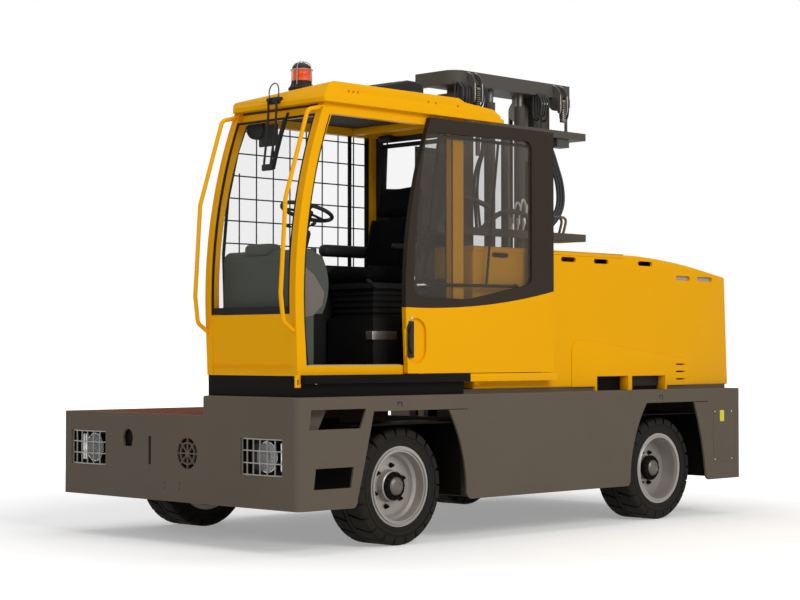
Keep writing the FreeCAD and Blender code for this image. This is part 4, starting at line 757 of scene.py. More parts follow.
def wiper():
    """Twin-arm wiper that hangs from the roof's front edge, with its cable loop."""
    front = pillar_line(-0.03, 2.6, 3.16, 12)
    x_low = front[2][0]
    x_roof = roof_high.x + 0.014
    pieces = [block((x_roof - 0.04, 0.776, 3.15), (x_roof + 0.004, 0.896, 3.2), 0.01, 3)]
    for y_top, y_low in ((0.792, 0.874), (0.878, 0.944)):
        pieces.append(tube([(x_roof + 0.01, y_top, 3.19), (x_roof + 0.014, y_top + 0.01, 3.1),
                            (front[6][0] + 0.008, (y_top + y_low) / 2, front[6][1]),
                            (x_low + 0.01, y_low, front[2][1] + 0.01)], 0.0085))
        pieces.append(ball((x_roof + 0.006, y_top, 3.18), 0.018))
    pieces.append(block((x_low - 0.002, 0.856, front[2][1] - 0.03),
                        (x_low + 0.02, 0.964, front[2][1] + 0.016), 0.008, 3))
    dressed(pieces, "Wiper_arms", black_plastic)
    blade = curved_strip(-0.03, -0.012, 2.67, 3.08, 0.956, 0.968, 12)
    spine = curved_strip(-0.042, -0.028, 2.7, 3.04, 0.951, 0.973, 10)
    dressed([blade, spine], "Wiper_blade", gasket_rubber)
    cable = tube([(x_roof, 0.8, 3.18), (x_roof + 0.004, 0.785, 3.235), (x_roof, 0.815, 3.29),
                  (x_roof, 0.87, 3.3), (x_roof + 0.004, 0.905, 3.245), (x_roof, 0.885, 3.18)], 0.0045)
    dressed(cable, "Wiper_cable", hose_rubber)


wiper()


def sill_strip():
    """Ribbed anti-slip strip on the door sill."""
    x0 = behind(1.045)
    x1 = behind(0.075)
    y = cab_high.y
    ribs = [block((x0, y - 0.052, cab_low.z + 0.0705), (x1, y - 0.004, cab_low.z + 0.0735), 0.001)]
    count = 42
    z = cab_low.z
    for i in range(count):
        x = x0 + (x1 - x0) * (i + 0.5) / count
        ribs.append(block((x - 0.006, y - 0.05, z + 0.073), (x + 0.006, y - 0.006, z + 0.0765), 0.0))
    dressed(ribs, "Sill_grip", grip_grey)


sill_strip()


def tie_down(x, label):
    """Bent plate with a slotted hole, below the sill."""
    y = cab_high.y
    plate = block((x - 0.026, y - 0.006, 1.15), (x + 0.026, y + 0.006, 1.236), 0.003)
    hole = block((x - 0.009, y - 0.02, 1.168), (x + 0.009, y + 0.02, 1.205), 0.0)
    dressed(cut_away(plate, [hole]), "Tie_down_" + label, yellow_paint)


def door_track():
    """Track under the sliding door: black along the cab, painted along the hood."""
    low, high = corner("door_rail")
    meet = behind(1.725)
    front = dressed(block((meet, low.y, low.z), high, 0.003), "Door_track", black_steel)
    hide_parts("door_rail")
    dressed(block(low, (meet, high.y, high.z), 0.003), "Door_track_rear", yellow_paint)


door_track()
tie_down(behind(0.04), "front")
tie_down(behind(1.84), "rear")
screws([(behind(0.203), cab_high.y + 0.004, 1.188)], 0.019, 0.012, "Sill_bolt")


# ---- battery hood
hood_face = 1.25
hood_start = behind(1.853)
hood_end = behind(5.137)
hood_low = 1.115
hood_top = 2.19
pockets = ((3.319, 3.722), (3.775, 4.224))
hand_slots = ((2.066, 2.261, 2.134), (2.475, 2.662, 2.134), (2.884, 3.067, 2.13), (3.294, 3.481, 2.128),
              (3.871, 4.061, 2.128), (4.39, 4.593, 2.022), (4.694, 4.913, 2.022))
louvre_span = (4.378, 4.5)
louvre_heights = (1.291, 1.23, 1.167)


def stadium(x0, x1, z, radius, ya, yb):
    """Long slot with round ends, as a solid."""
    points = []
    for x, first in ((x1 - radius, 0.5), (x0 + radius, 1.5)):
        for i in range(9):
            turn = math.pi * (first - i / 8)
            points.append((x + radius * math.cos(turn), ya, z + radius * math.sin(turn)))
    return sheet_from(points, yb - ya)


def hood_outline(shrink):
    """Side view of the hood: level top, then a shallow curve down to the leaning rear end."""
    knee, middle, slope = [(behind(a), hood_top - shrink - b)
                           for a, b in ((3.8, 0.0), (4.31, 0.033), (4.781, 0.095))]
    ux, uz, radius = circle_through(knee, middle, slope)
    line = [(hood_start - shrink, hood_low - shrink), (hood_start - shrink, hood_top - shrink)]
    for i in range(15):
        x = knee[0] + (slope[0] - knee[0]) * i / 14
        line.append((x, uz + math.sqrt(radius ** 2 - (x - ux) ** 2)))
    line += [(hood_end + shrink + 0.04, hood_top - shrink - 0.146), (hood_end + shrink, hood_low - shrink)]
    return line


def hood_solid(shrink):
    ya = 0.33 + shrink
    piece = sheet_from([(x, ya, z) for x, z in hood_outline(shrink)], hood_face - shrink - ya)
    side = 1.0 + shrink
    return cut_away(piece, [block((behind(3.6) - shrink, ya - 0.1, 0.5), (nose_x, side, 3.0), 0.0)])


def hood_field():
    """Pressed field round the fork pockets, and the foot under it."""
    marks = [(3.004, hood_low), (3.004, 1.398), (3.012, 1.43), (3.024, 1.456), (3.042, 1.474), (3.066, 1.486),
             (3.243, 1.483), (4.505, 1.341), (4.528, 1.333), (4.54, 1.318), (4.54, hood_low)]
    field = sheet_from([(behind(a), hood_face - 0.002, z) for a, z in marks], 0.011)
    soften(field, 0.0075, 3, 60.0)
    foot = block((behind(pockets[-1][1] + 0.026), hood_face - 0.02, 1.0835),
                 (behind(pockets[0][0] - 0.026), hood_face + 0.009, hood_low + 0.004), 0.0)
    return [field, foot]


def louvre_cutters(ya, yb):
    return [stadium(behind(louvre_span[1]), behind(louvre_span[0]), z, 0.006, ya, yb) for z in louvre_heights]


def battery_hood():
    """Sheet-metal cover with its hinged lid, hand slots, louvres and fork pockets."""
    shell = hood_solid(0.0)
    soften(shell, 0.011, 3)
    cut_away(shell, [hood_solid(0.018)])
    ya = hood_face - 0.03
    yb = hood_face + 0.012
    slots = [stadium(behind(b), behind(a), z, 0.019, ya, yb) for a, b, z in hand_slots]
    gaps = [block((behind(b), hood_face - 0.051, 1.07), (behind(a), yb, 1.2), 0.0) for a, b in pockets]
    cut_away(shell, slots + louvre_cutters(ya, yb))
    field, foot = hood_field()
    field_gaps, foot_gaps = [[copied(gap, Matrix.Identity(4)) for gap in gaps] for _ in range(2)]
    cut_away(shell, gaps)
    cut_away(field, field_gaps + louvre_cutters(ya, yb))
    cut_away(foot, foot_gaps)
    out = hood_face + 0.006
    start = hood_start + 0.006
    lid_end = behind(3.67)
    lid = [block((lid_end, 0.997, hood_top - 0.004), (start, out, hood_top + 0.006), 0.003),
           block((lid_end, hood_face - 0.002, hood_top - 0.028), (start, out, hood_top + 0.004), 0.0025),
           block((hood_start - 0.002, 0.85, hood_top - 0.028), (start, out, hood_top + 0.004), 0.0025),
           block((hood_start - 0.016, 0.85, hood_low), (hood_start, 1.01, hood_top), 0.002)]
    lips = [block((behind(louvre_span[1] + 0.006), hood_face + 0.004, z + 0.006),
                  (behind(louvre_span[0] - 0.006), hood_face + 0.009, z + 0.011), 0.002)
            for z in louvre_heights]
    walls = []
    inside = hood_face - 0.075
    for a, b in pockets:
        for x in (behind(a), behind(b)):
            walls.append(block((x - 0.003, inside, 1.085), (x + 0.003, hood_face - 0.001, 1.198), 0.001))
        walls.append(block((behind(b), inside, 1.197), (behind(a), hood_face - 0.001, 1.203), 0.001))
    hood = dressed([shell] + lid + [field, foot] + lips + walls, "Battery_hood", yellow_paint,
                   angle=30.0)
    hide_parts("battery_hood")
    # Black sheets at the back of the fork pockets: painted shade in the depth of the pockets.
    backs = [block((behind(b) - 0.01, inside - 0.007, 1.084), (behind(a) + 0.01, inside + 0.001, 1.21), 0.0)
             for a, b in pockets]
    dressed(backs, "Pocket_painted_shade", black_steel)
    # Pale plates just inside the two rear hand slots: painted light, standing in for the light that shows
    # through these open slots.
    battery = [block((behind(b) - 0.01, ya, z - 0.024), (behind(a) + 0.01, ya + 0.006, z + 0.024), 0.0)
               for a, b, z in hand_slots[-2:]]
    dressed(battery, "Slot_painted_light", painted_slot_light)


def hood_plinth():
    """Strip between the platform and the hood, open at the fork pockets."""
    low, high = corner("hood_base")
    front = behind(pockets[0][0])
    rear = behind(pockets[-1][1])
    middle = (behind(pockets[1][0]), behind(pockets[0][1]))
    parts = [block((front, hood_face - 0.26, low.z), (high.x, hood_face - 0.01, high.z), 0.0),
             block((low.x, hood_face - 0.91, low.z), (rear, hood_face - 0.01, high.z), 0.0),
             block((middle[0], hood_face - 0.26, low.z), (middle[1], hood_face - 0.01, high.z), 0.0)]
    strip = dressed(parts, "Hood_plinth", chassis_paint)
    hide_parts("hood_base")


battery_hood()
hood_plinth()


# ---- cab, inside
seat_line = middle_of("seat_cushion").y


def rod_between(a, b, radius, sides=24):
    """Round bar from one point to another."""
    a = Vector(a)
    b = Vector(b)
    return disc((a + b) / 2, (b - a).normalized(), radius, (b - a).length, 0.0, sides)


def steering_gear():
    """Column with a ball joint, the tilted wheel with padded rim and the spinner knob."""
    y = seat_line
    foot = Vector((behind(0.475), y, 1.225))
    joint = Vector((behind(0.442), y, 2.08))
    head = Vector((behind(0.54), y, 2.385))
    along = (head - joint).normalized()
    middle = head + along * 0.02
    rim_radius = 0.185
    stem = rod_between(foot, joint, 0.036)
    boot = [hoop(foot + (joint - foot) * (0.03 + 0.022 * i), (joint - foot), 0.036, 0.011, 32, 8)
            for i in range(5)]
    cover = rod_between(joint, head, 0.042)
    collar = disc(joint + along * 0.13, along, 0.066, 0.15, 0.024)
    dressed([stem, cover, collar, ball(joint, 0.046)] + boot, "Steering_column", black_plastic)
    rim = hoop(middle, along, rim_radius, 0.0145, 64, 16)
    hub = disc(head + along * 0.012, along, 0.048, 0.036, 0.01)
    cross = Vector(left)
    spokes = []
    for degrees in (90, 210, 330):
        ray = Matrix.Rotation(math.radians(degrees), 3, along) @ cross
        spokes.append(rod_between(middle - along * 0.004, middle + ray * (rim_radius - 0.005), 0.0095))
    ray = Matrix.Rotation(math.radians(150), 3, along) @ cross
    knob = middle + ray * rim_radius
    grip = profile_turned([(0.0, 0.001), (0.0, 0.01), (0.018, 0.01), (0.024, 0.02), (0.052, 0.025),
                           (0.062, 0.019), (0.066, 0.001)], knob, along, 32)
    wheel = dressed([rim, hub, grip] + spokes, "Steering_wheel", black_plastic)
    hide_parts("steering_gear")
    levers = []
    for side, reach in ((1.0, 0.15), (-1.0, 0.13)):
        start = joint + along * 0.2
        end = start + Vector((0.03, side * reach, 0.035))
        levers.append(rod_between(start, end, 0.006, 12))
        levers.append(disc(end, (end - start).normalized(), 0.012, 0.05, 0.005, 16))
    dressed(levers, "Column_levers", black_plastic)
    box_piece = block((joint.x + 0.02, y + 0.045, 2.055), (joint.x + 0.09, y + 0.125, 2.15), 0.01)
    dressed(box_piece, "Column_box", light_grey_plastic)


steering_gear()


def side_console():
    """Dark console beside the seat with its work levers and buttons."""
    ya = 0.395
    yb = 0.56
    body = block((behind(1.6), ya, 1.232), (behind(0.56), yb, 2.03), 0.02, 3)
    lid = block((behind(1.56), ya + 0.01, 2.026), (behind(0.6), yb - 0.01, 2.042), 0.006)
    dressed([body, lid], "Side_console", black_plastic)
    sticks = []
    for x, y in ((behind(0.88), 0.45), (behind(0.93), 0.48), (behind(0.98), 0.45)):
        sticks.append(profile_turned([(0, 0.001), (0, 0.022), (0.012, 0.018), (0.02, 0.01), (0.03, 0.006),
                                      (0.09, 0.006), (0.092, 0.012), (0.12, 0.016), (0.134, 0.01),
                                      (0.136, 0.001)],
                                     (x, y, 2.04), (0.1, 0.02, 1.0), 24))
    dressed(sticks, "Work_levers", grey_plastic)
    knobs = [disc((behind(0.64) - 0.035 * i, yb - 0.045, 2.046), up, 0.011, 0.012, 0.003, 20)
             for i in range(3)]
    dressed(knobs, "Console_buttons", light_grey_plastic)


side_console()


def cushion(core):
    """Swells a core like upholstery: cloth filled with air, each point's move capped, one subdivision."""
    cap = 0.014
    last_step = 20
    only(core)
    core.data.remesh_voxel_size = 0.006
    bpy.ops.object.voxel_remesh()
    rest = [v.co.copy() for v in core.data.vertices]
    cloth = core.modifiers.new("Cloth", "CLOTH")
    cloth.settings.use_pressure = True
    cloth.settings.uniform_pressure_force = 4.0
    cloth.settings.effector_weights.gravity = 0.0
    cloth.point_cache.frame_start = 1
    cloth.point_cache.frame_end = last_step
    for step in range(1, last_step + 1):
        bpy.context.scene.frame_set(step)
    apply_modifiers(core)
    for vertex, start in zip(core.data.vertices, rest):
        step = vertex.co - start
        if step.length > cap:
            vertex.co = start + step * (cap / step.length)
    bpy.context.scene.frame_set(1)
    round_off = core.modifiers.new("Smooth", "SUBSURF")
    round_off.levels = 1
    round_off.render_levels = 1
    apply_modifiers(core)
    return core


def channels(piece, axis_index, places, normal, depth=0.006):
    """Presses sewn channels into the side of a cushion that faces along the normal."""
    width = 0.007
    normal = Vector(normal)
    facing = [vertex.normal.dot(normal) > 0.3 for vertex in piece.data.vertices]
    for vertex, faces in zip(piece.data.vertices, facing):
        if faces:
            sink = sum(math.exp(-((vertex.co[axis_index] - place) / width) ** 2) for place in places)
            vertex.co -= normal * depth * min(sink, 1.0)


def seat():
    """Upholstered seat: cushion with side rolls, back rest in two parts, all simulated as filled cloth."""
    low, high = corner("seat_cushion")
    inset = 0.012
    base = block((low.x + inset, low.y + inset, low.z + inset),
                 (high.x - inset, high.y - inset, high.z - 0.034), 0.034, 4)
    rolls = [block((low.x + 0.05, y - 0.034, high.z - 0.075), (high.x - 0.05, y + 0.034, high.z - 0.014),
                   0.028, 4)
             for y in (low.y + 0.055, high.y - 0.055)]
    pad = cushion(joined([base] + rolls))
    channels(pad, 1, (low.y + 0.105, high.y - 0.105), up)
    channels(pad, 0, (low.x + 0.13, low.x + 0.25, low.x + 0.36), up, 0.004)
    dressed(pad, "Seat_cushion", seat_cloth)
    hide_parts("seat_cushion")
    low, high = corner("seat_back")
    foot = Vector(((low.x + high.x) / 2 + 0.13, seat_line, low.z + 0.04))
    top = Vector(((low.x + high.x) / 2 + 0.005, seat_line, high.z - 0.02))
    lean = (top - foot).normalized()
    turn = Vector(up).rotation_difference(lean).to_matrix().to_4x4()
    length = (top - foot).length

    def leaning(piece):
        piece.data.transform(turn)
        return moved(piece, foot)

    main = block((-0.05, -0.218, 0.03), (0.036, 0.218, length - 0.19), 0.034, 4)
    wings = [block((-0.034, y - 0.038, 0.06), (0.066, y + 0.038, length - 0.21), 0.032, 4)
             for y in (-0.196, 0.196)]
    back = cushion(leaning(joined([main] + wings)))
    channels(back, 1, (seat_line - 0.142, seat_line + 0.142), forward)
    channels(back, 2, tuple(low.z + 0.14 + 0.11 * i for i in range(4)), forward, 0.004)
    dressed(back, "Seat_back", seat_cloth)
    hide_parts("seat_back")
    rest = block((-0.046, -0.212, length - 0.196), (0.046, 0.212, length + 0.04), 0.042, 5)
    rest = cushion(leaning(rest))
    dressed(rest, "Seat_head_rest", seat_cloth)
    shell = leaning(block((-0.074, -0.205, 0.01), (-0.05, 0.205, length - 0.01), 0.01))
    posts = [leaning(disc((-0.055, y, length - 0.13), up, 0.008, 0.16, 0.001, 16)) for y in (-0.06, 0.06)]
    dressed([shell] + posts, "Seat_back_shell", black_plastic)
    rests = [block((behind(1.16), seat_line + 0.236, 2.15), (behind(1.4), seat_line + 0.288, 2.192), 0.018,
                   3),
             block((behind(1.4), seat_line - 0.315, 2.105), (behind(0.93), seat_line - 0.215, 2.195), 0.04,
                   4)]
    for y in (seat_line - 0.262, seat_line + 0.262):
        rests.append(rod_between((behind(1.41), y, 2.165), (behind(1.47), y * 0.9 + seat_line * 0.1, 2.08),
                                 0.014))
    dressed(rests, "Arm_rests", black_plastic)


seat()


# ---- door
door_face = corner("door_frame")[1].y
pane_back = corner("door_window")[0].y


def door_stay():
    """Dark tube inside the door's glass: along its top, front and foot, with a slanted bar."""
    y = pane_back - 0.009
    bends = ((0.11, 2.982), (0.55, 2.982), (1.04, 2.984), (1.095, 2.975), (1.12, 2.93), (1.268, 1.955),
             (1.26, 1.905), (1.22, 1.888), (0.75, 1.89), (0.24, 1.896))
    loop = tube([(x, y, z) for x, z in bends], 0.013)
    brace = tube([(0.456, y - 0.002, 2.972), (0.591, y - 0.002, 1.893)], 0.01, kind="POLY")
    feet = [disc((x, y + 0.004, z), left, 0.02, 0.012, 0.002)
            for x, z in ((0.13, 2.982), (1.167, 2.62), (1.246, 2.1), (0.27, 1.896))]
    dressed([loop, brace] + feet, "Door_stay", black_plastic, body="door")


def door_handle():
    """Black pull bar in the recess at the door's front edge."""
    x = behind(1.092)
    y = door_face
    bends = ((0.0, -0.002, 1.581), (0.0, 0.008, 1.575), (0.018, 0.009, 1.545), (0.022, 0.009, 1.484),
             (0.018, 0.009, 1.423), (0.0, 0.008, 1.393), (0.0, -0.002, 1.387))
    bar = tube([(x + a, y + b, z) for a, b, z in bends], 0.011)
    plate = block((x - 0.03, y - 0.006, 1.352), (x + 0.028, y + 0.0015, 1.616), 0.002)
    lock = disc((x - 0.002, y + 0.003, 1.64), left, 0.012, 0.006, 0.001)
    dressed([bar, plate], "Door_handle", black_plastic, body="door")
    dressed(lock, "Door_lock", bright_bolt, body="door")


door_stay()
door_handle()


# ---- warning light
def warning_light():
    """Flared rubber foot, ribbed lens and a domed cap with a wire guard."""
    x, y = middle_of("beacon").xy
    z = corner("beacon")[0].z
    foot = profile_turned([(0, 0.002), (0, 0.092), (0.012, 0.097), (0.02, 0.096), (0.03, 0.086),
                           (0.048, 0.077), (0.066, 0.075), (0.07, 0.07), (0.07, 0.002)], (x, y, z), up, 48)
    dressed(foot, "Beacon_foot", black_plastic)
    ribs = [(0.069, 0.002), (0.069, 0.07)]
    for i in range(12):
        ribs += [(0.072 + i * 0.0072, 0.0735 - 0.0004 * i), (0.0758 + i * 0.0072, 0.0708 - 0.0004 * i)]
    ribs += [(0.16, 0.066), (0.162, 0.058), (0.162, 0.002)]
    dressed(profile_turned(ribs, (x, y, z), up, 56), "Beacon_lens", amber_lens)
    cap = profile_turned([(0.16, 0.002), (0.16, 0.068), (0.168, 0.069), (0.178, 0.062), (0.193, 0.046),
                          (0.202, 0.026), (0.206, 0.002)], (x, y, z), up, 48)
    dressed(cap, "Beacon_cap", black_plastic)
    bends = ((0.08, 0.04), (0.081, 0.15), (0.06, 0.205), (0.01, 0.212))
    wires = [tube([(x + reach * math.cos(a), y + reach * math.sin(a), z + rise) for reach, rise in bends],
                  0.0034)
             for a in (0.4, 1.97, 3.54, 5.11)]
    band = hoop((x, y, z + 0.15), up, 0.08, 0.0034, 48, 8)
    dressed(wires + [band], "Beacon_wires", guard_wire)
    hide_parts("beacon")


warning_light()


# ---- cab roof
def cab_roof():
    """Pressed roof with softened edges; its front edge drops towards the load side."""
    roof = bpy.data.objects.new("Cab_roof", nodes["cab_roof"].data.copy())
    bpy.context.collection.objects.link(roof)
    only(roof)
    bpy.ops.object.mode_set(mode="EDIT")
    bpy.ops.mesh.select_all(action="SELECT")
    bpy.ops.mesh.remove_doubles(threshold=0.00005)
    bpy.ops.mesh.dissolve_limited(angle_limit=math.radians(1.0))
    bpy.ops.object.mode_set(mode="OBJECT")
    reach = 0.62
    for vertex in roof.data.vertices:
        if vertex.co.x > 2.0 and vertex.co.z > 3.19:
            share = min(max((roof_low.y + reach - vertex.co.y) / reach, 0.0), 1.0)
            vertex.co.z -= 0.055 * share
    soften(roof, 0.012, 3, 20.0)
    dressed(roof, "Cab_roof", yellow_paint, angle=30.0)
    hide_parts("cab_roof")


cab_roof()


# ---- roof housing
unit_low, unit_high = corner("roof_unit")


def roof_housing():
    """Low black housing on the roof's rear half, humped towards the mast."""
    marks = [(1.44, 0.001), (1.44, 0.06), (1.41, 0.084), (1.3, 0.106), (1.125, 0.146), (1.08, 0.154),
             (0.96, 0.15), (0.928, 0.13), (0.925, 0.001)]
    body = sheet_from([(x, 0.58, roof_high.z + z) for x, z in marks], 0.41)
    soften(body, 0.018, 3, 25.0)
    ribs = []
    for i, top in enumerate((0.157, 0.157, 0.141, 0.125)):
        x = 0.975 + 0.085 * i
        ribs.append(block((x, 0.6, roof_high.z + 0.1), (x + 0.03, 0.97, roof_high.z + top), 0.01, 3))
    housing = dressed([body] + ribs, "Roof_housing", black_plastic)
    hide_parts("roof_unit")


roof_housing()


def roof_lines():
    """Cables and a hose that run over the roof from the housing to the mast."""
    lines = []
    z = roof_high.z + 0.012
    for out, rise in ((0.02, 0.02), (0.045, 0.05), (0.07, 0.03)):
        y = unit_high.y + out
        lines.append(tube([(unit_high.x - 0.1, unit_high.y - 0.02, z + 0.02), (unit_high.x - 0.05, y, z),
                           (unit_high.x - 0.25, y, z + rise), (unit_low.x + 0.05, y, z + rise),
                           (unit_low.x - 0.06, y - 0.02, z - 0.004)], 0.01))
    dressed(lines, "Roof_lines", hose_rubber)
    bolts = [(unit_low.x + 0.05 + 0.13 * i, unit_high.y - 0.002, roof_high.z + 0.035) for i in range(4)]
    screws(bolts, 0.009, 0.008, "Roof_housing_bolts")


roof_lines()


# ---- mast
head_low = corner("inner_mast")[1].z - 0.11
mast_x = middle_of("outer_mast").x


def coil(x, y, low, high):
    """Hose spring of nine turns."""
    radius = 0.02
    turns = 9
    points = []
    for i in range(turns * 12 + 1):
        turn = math.tau * i / 12
        points.append((x + radius * math.cos(turn), y + radius * math.sin(turn),
                       low + (high - low) * i / (turns * 12)))
    return tube(points, 0.0055, kind="POLY")


def head_hoses():
    """Thin hoses that loop beside each pair of hooks, and the spring between the hooks."""
    loops = []
    springs = []
    for middle, places in ((0.51, (0.375, 0.4, 0.425, 0.585, 0.615, 0.655)),
                           (-0.52, (-0.27, -0.3, -0.33, -0.36, -0.61))):
        for i, offset in enumerate(places):
            low = 3.262 + 0.018 * (i % 3)
            bends = ((0.0, 0.895, head_low + 0.012), (0.0, 0.95, head_low - 0.012), (0.008, 0.966, 3.38),
                     (0.01, 0.95, low + 0.02), (0.006, 0.905, low), (0.0, 0.868, low + 0.03),
                     (0.0, 0.866, 3.4), (0.0, 0.872, head_low + 0.012))
            loops.append(tube([(mast_x + offset + a, y, z) for a, y, z in bends], 0.0085, 6))
        springs.append(coil(mast_x + middle, 0.973, head_low - 0.185, head_low - 0.045))
        springs.append(disc((mast_x + middle, 0.973, head_low - 0.195), up, 0.026, 0.022, 0.004))
        springs.append(disc((mast_x + middle, 0.973, head_low - 0.036), up, 0.024, 0.022, 0.004))
    dressed(loops, "Head_hoses", hose_rubber, body="upper_mast")
    dressed(springs, "Hose_springs", oiled_steel, body="upper_mast")
    bends = ((0.905, 0.1), (0.96, 0.068), (0.983, 0.006), (0.9855, -0.06), (0.984, -0.12), (0.972, -0.136))
    edges = [tube([(mast_x + middle + side * 0.042, y, head_low + rise) for y, rise in bends], 0.0062, 6)
             for middle in (0.51, -0.52) for side in (-1, 1)]
    dressed(edges, "Hook_edges", guard_wire, body="upper_mast")


def tie_hoses():
    """Hoses, pipes and fittings between the mast's two tie plates, and its side plate."""
    upper_tie = 3.152
    lower_tie = 2.368
    black = [
        tube([(0.17, 0.89, upper_tie), (0.199, 0.93, 2.978), (0.291, 0.945, 2.854), (0.325, 0.945, 2.734),
              (0.314, 0.935, 2.618), (0.267, 0.9, 2.543), (0.22, 0.875, lower_tie)], 0.013),
        tube([(0.12, 0.89, upper_tie), (0.164, 0.92, 2.997), (0.256, 0.935, 2.856), (0.279, 0.93, 2.659),
              (0.215, 0.89, 2.49), (0.18, 0.875, lower_tie)], 0.011)]
    route = ((-0.6, 0.89, upper_tie), (-0.637, 0.925, 3.043), (-0.674, 0.94, 2.924), (-0.738, 0.95, 2.764),
             (-0.75, 0.95, 2.601), (-0.7, 0.94, 2.492), (-0.637, 0.915, 2.42), (-0.6, 0.885, lower_tie))
    black += [tube([(x + shift, y, z) for x, y, z in route], 0.014) for shift in (0.0, 0.034, 0.068)]
    dressed(black, "Mast_hoses", hose_rubber, body="reach_frame")
    thick = [
        tube([(0.64, 0.87, lower_tie), (0.622, 0.91, 2.47), (0.565, 0.925, 2.57), (0.473, 0.925, 2.6),
              (0.302, 0.925, 2.58), (0.128, 0.925, 2.535), (0.05, 0.9, 2.45), (0.03, 0.875, lower_tie)],
             0.021),
        tube([(0.15, 0.875, lower_tie), (0.11, 0.915, 2.43), (0.01, 0.925, 2.49), (-0.109, 0.925, 2.516),
              (-0.254, 0.925, 2.508), (-0.363, 0.92, 2.47), (-0.41, 0.875, lower_tie)], 0.021)]
    dressed(thick, "Mast_thick_hoses", grey_plastic, body="reach_frame")
    route = ((-0.5, 0.905, 2.37), (-0.51, 0.935, 2.44), (-0.56, 0.94, 2.492), (-0.726, 0.94, 2.501),
             (-0.789, 0.938, 2.488), (-0.802, 0.93, 2.447), (-0.802, 0.9, lower_tie))
    pipes = [tube([(x, y - drop, z) for x, y, z in route], 0.011) for drop in (0.0, 0.045)]
    dressed(pipes, "Mast_pipes", bronze_pipe, body="reach_frame")
    bright = []
    for x, top in ((-0.19, 2.6), (-0.262, 2.637), (-0.33, 2.585)):
        bright.append(tube([(x + 0.03, 0.9, 2.372), (x + 0.03, 0.925, 2.5), (x, 0.93, top),
                            (x - 0.05, 0.93, 2.56), (x - 0.06, 0.92, 2.51)], 0.009))
        bright.append(disc((x + 0.03, 0.912, 2.44), up, 0.017, 0.05, 0.003, 6))
    dressed(bright, "Mast_fittings", bright_bolt, body="reach_frame")
    plate = block((0.352, 0.588, 1.95), (0.622, 0.596, 3.0), 0.002)
    stays = [block((0.352, 0.588, z), (0.622, 0.612, z + 0.03), 0.003) for z in (1.955, 2.6, 2.965)]
    dressed([plate] + stays, "Mast_side_plate", mast_paint, body="reach_frame")


head_hoses()
tie_hoses()


# ---- cab, trim
def roof_lining_panel():
    """Dark lining under the roof, with the yellow cross member over the seat."""
    lining = block((0.935, 0.395, 3.112), (2.215, 1.232, 3.128), 0.006)
    dressed(lining, "Roof_lining", roof_lining)
    beam = block((1.03, 0.395, 3.062), (1.11, 1.232, 3.112), 0.006)
    dressed(beam, "Roof_cross_member", yellow_paint)
    label = block((behind(0.62), 1.1, 3.104), (behind(0.5), 1.2, 3.1115), 0.002)
    dressed(label, "Roof_switch_panel", light_grey_plastic)


def side_window_trim():
    """Rubber edging, slide bars and a catch on the window at the load side."""
    y0 = 0.3565
    y1 = 0.366
    front = [(behind(a), z) for a, z in ((0.175, 1.72), (0.16, 2.1), (0.2, 2.5), (0.29, 2.85), (0.37, 3.045))]
    pieces = [block((0.905, y0, 1.702), (2.345, y1, 1.742), 0.003),
              block((0.905, y0, 3.062), (2.16, y1, 3.1), 0.003),
              block((0.905, y0, 1.702), (0.948, y1, 3.1), 0.003)]
    for a, b in zip(front, front[1:]):
        pieces.append(tube([(a[0], y0 + 0.005, a[1]), (b[0], y0 + 0.005, b[1])], 0.012, kind="POLY"))
    x = behind(1.417)
    pieces.append(block((x - 0.018, y0, 1.742), (x + 0.018, y1, 3.062), 0.003))
    dressed(pieces, "Side_window_trim", gasket_rubber)


def rear_window_trim():
    """Rubber edging round the rear window and its small wiper."""
    x0 = 0.8415
    x1 = 0.853
    ya, yb, za, zb = 0.462, 1.163, 1.912, 3.003
    bars = ((ya, za, yb, za + 0.034), (ya, zb - 0.034, yb, zb), (ya, za, ya + 0.034, zb),
            (yb - 0.034, za, yb, zb))
    pieces = [block((x0, a, low), (x1, b, top), 0.003) for a, low, b, top in bars]
    dressed(pieces, "Rear_window_trim", gasket_rubber)
    motor = block((x1, 0.49, 3.01), (x1 + 0.08, 0.62, 3.06), 0.01)
    arm = tube([(x1 + 0.012, 0.53, 3.02), (x1 + 0.014, 0.522, 2.88), (x1 + 0.012, 0.512, 2.66)], 0.006)
    blade = block((x1 + 0.002, 0.5, 2.62), (x1 + 0.014, 0.512, 3.0), 0.002)
    dressed([motor, arm, blade], "Rear_wiper", black_plastic)


def cab_mirror():
    """Inside mirror and small fan in the upper corner of the windscreen."""
    x = behind(0.45)
    mirror = block((x - 0.01, 0.42, 2.89), (x + 0.012, 0.62, 3.05), 0.01, 3)
    stalk = tube([(x, 0.52, 3.04), (x + 0.02, 0.5, 3.09), (x + 0.03, 0.46, 3.118)], 0.008)
    fan = [disc((x + 0.02, 0.33 + 0.085, 3.02), (1, 0.2, 0), 0.075, 0.05, 0.012),
           hoop((x + 0.048, 0.421, 3.02), (1, 0.2, 0), 0.07, 0.004)]
    dressed([mirror, stalk] + fan, "Cab_mirror", black_plastic)


def dash_trim():
    """Lighter side panel and instrument pod of the dash."""
    face = corner("dash")[1].y - 0.001
    marks = ((0.135, 2.0), (0.25, 1.93), (0.349, 1.808), (0.33, 1.72), (0.247, 1.648), (0.15, 1.63),
             (0.125, 1.66))
    panel = sheet_from([(behind(a), face, z) for a, z in marks], 0.006)
    soften(panel, 0.002)
    dressed(panel, "Dash_side_panel", light_grey_plastic)
    y = seat_line
    pod = block((behind(0.27), y - 0.215, 2.06), (behind(0.125), y + 0.055, 2.158), 0.04, 4)
    dressed(pod, "Instrument_pod", grey_plastic)
    dials = [disc((behind(0.271), y + a, 2.125), (-1, 0, 0.3), 0.018, 0.008, 0.002)
             for a in (-0.165, -0.105, -0.045)]
    dressed(dials, "Dash_dials", black_plastic)


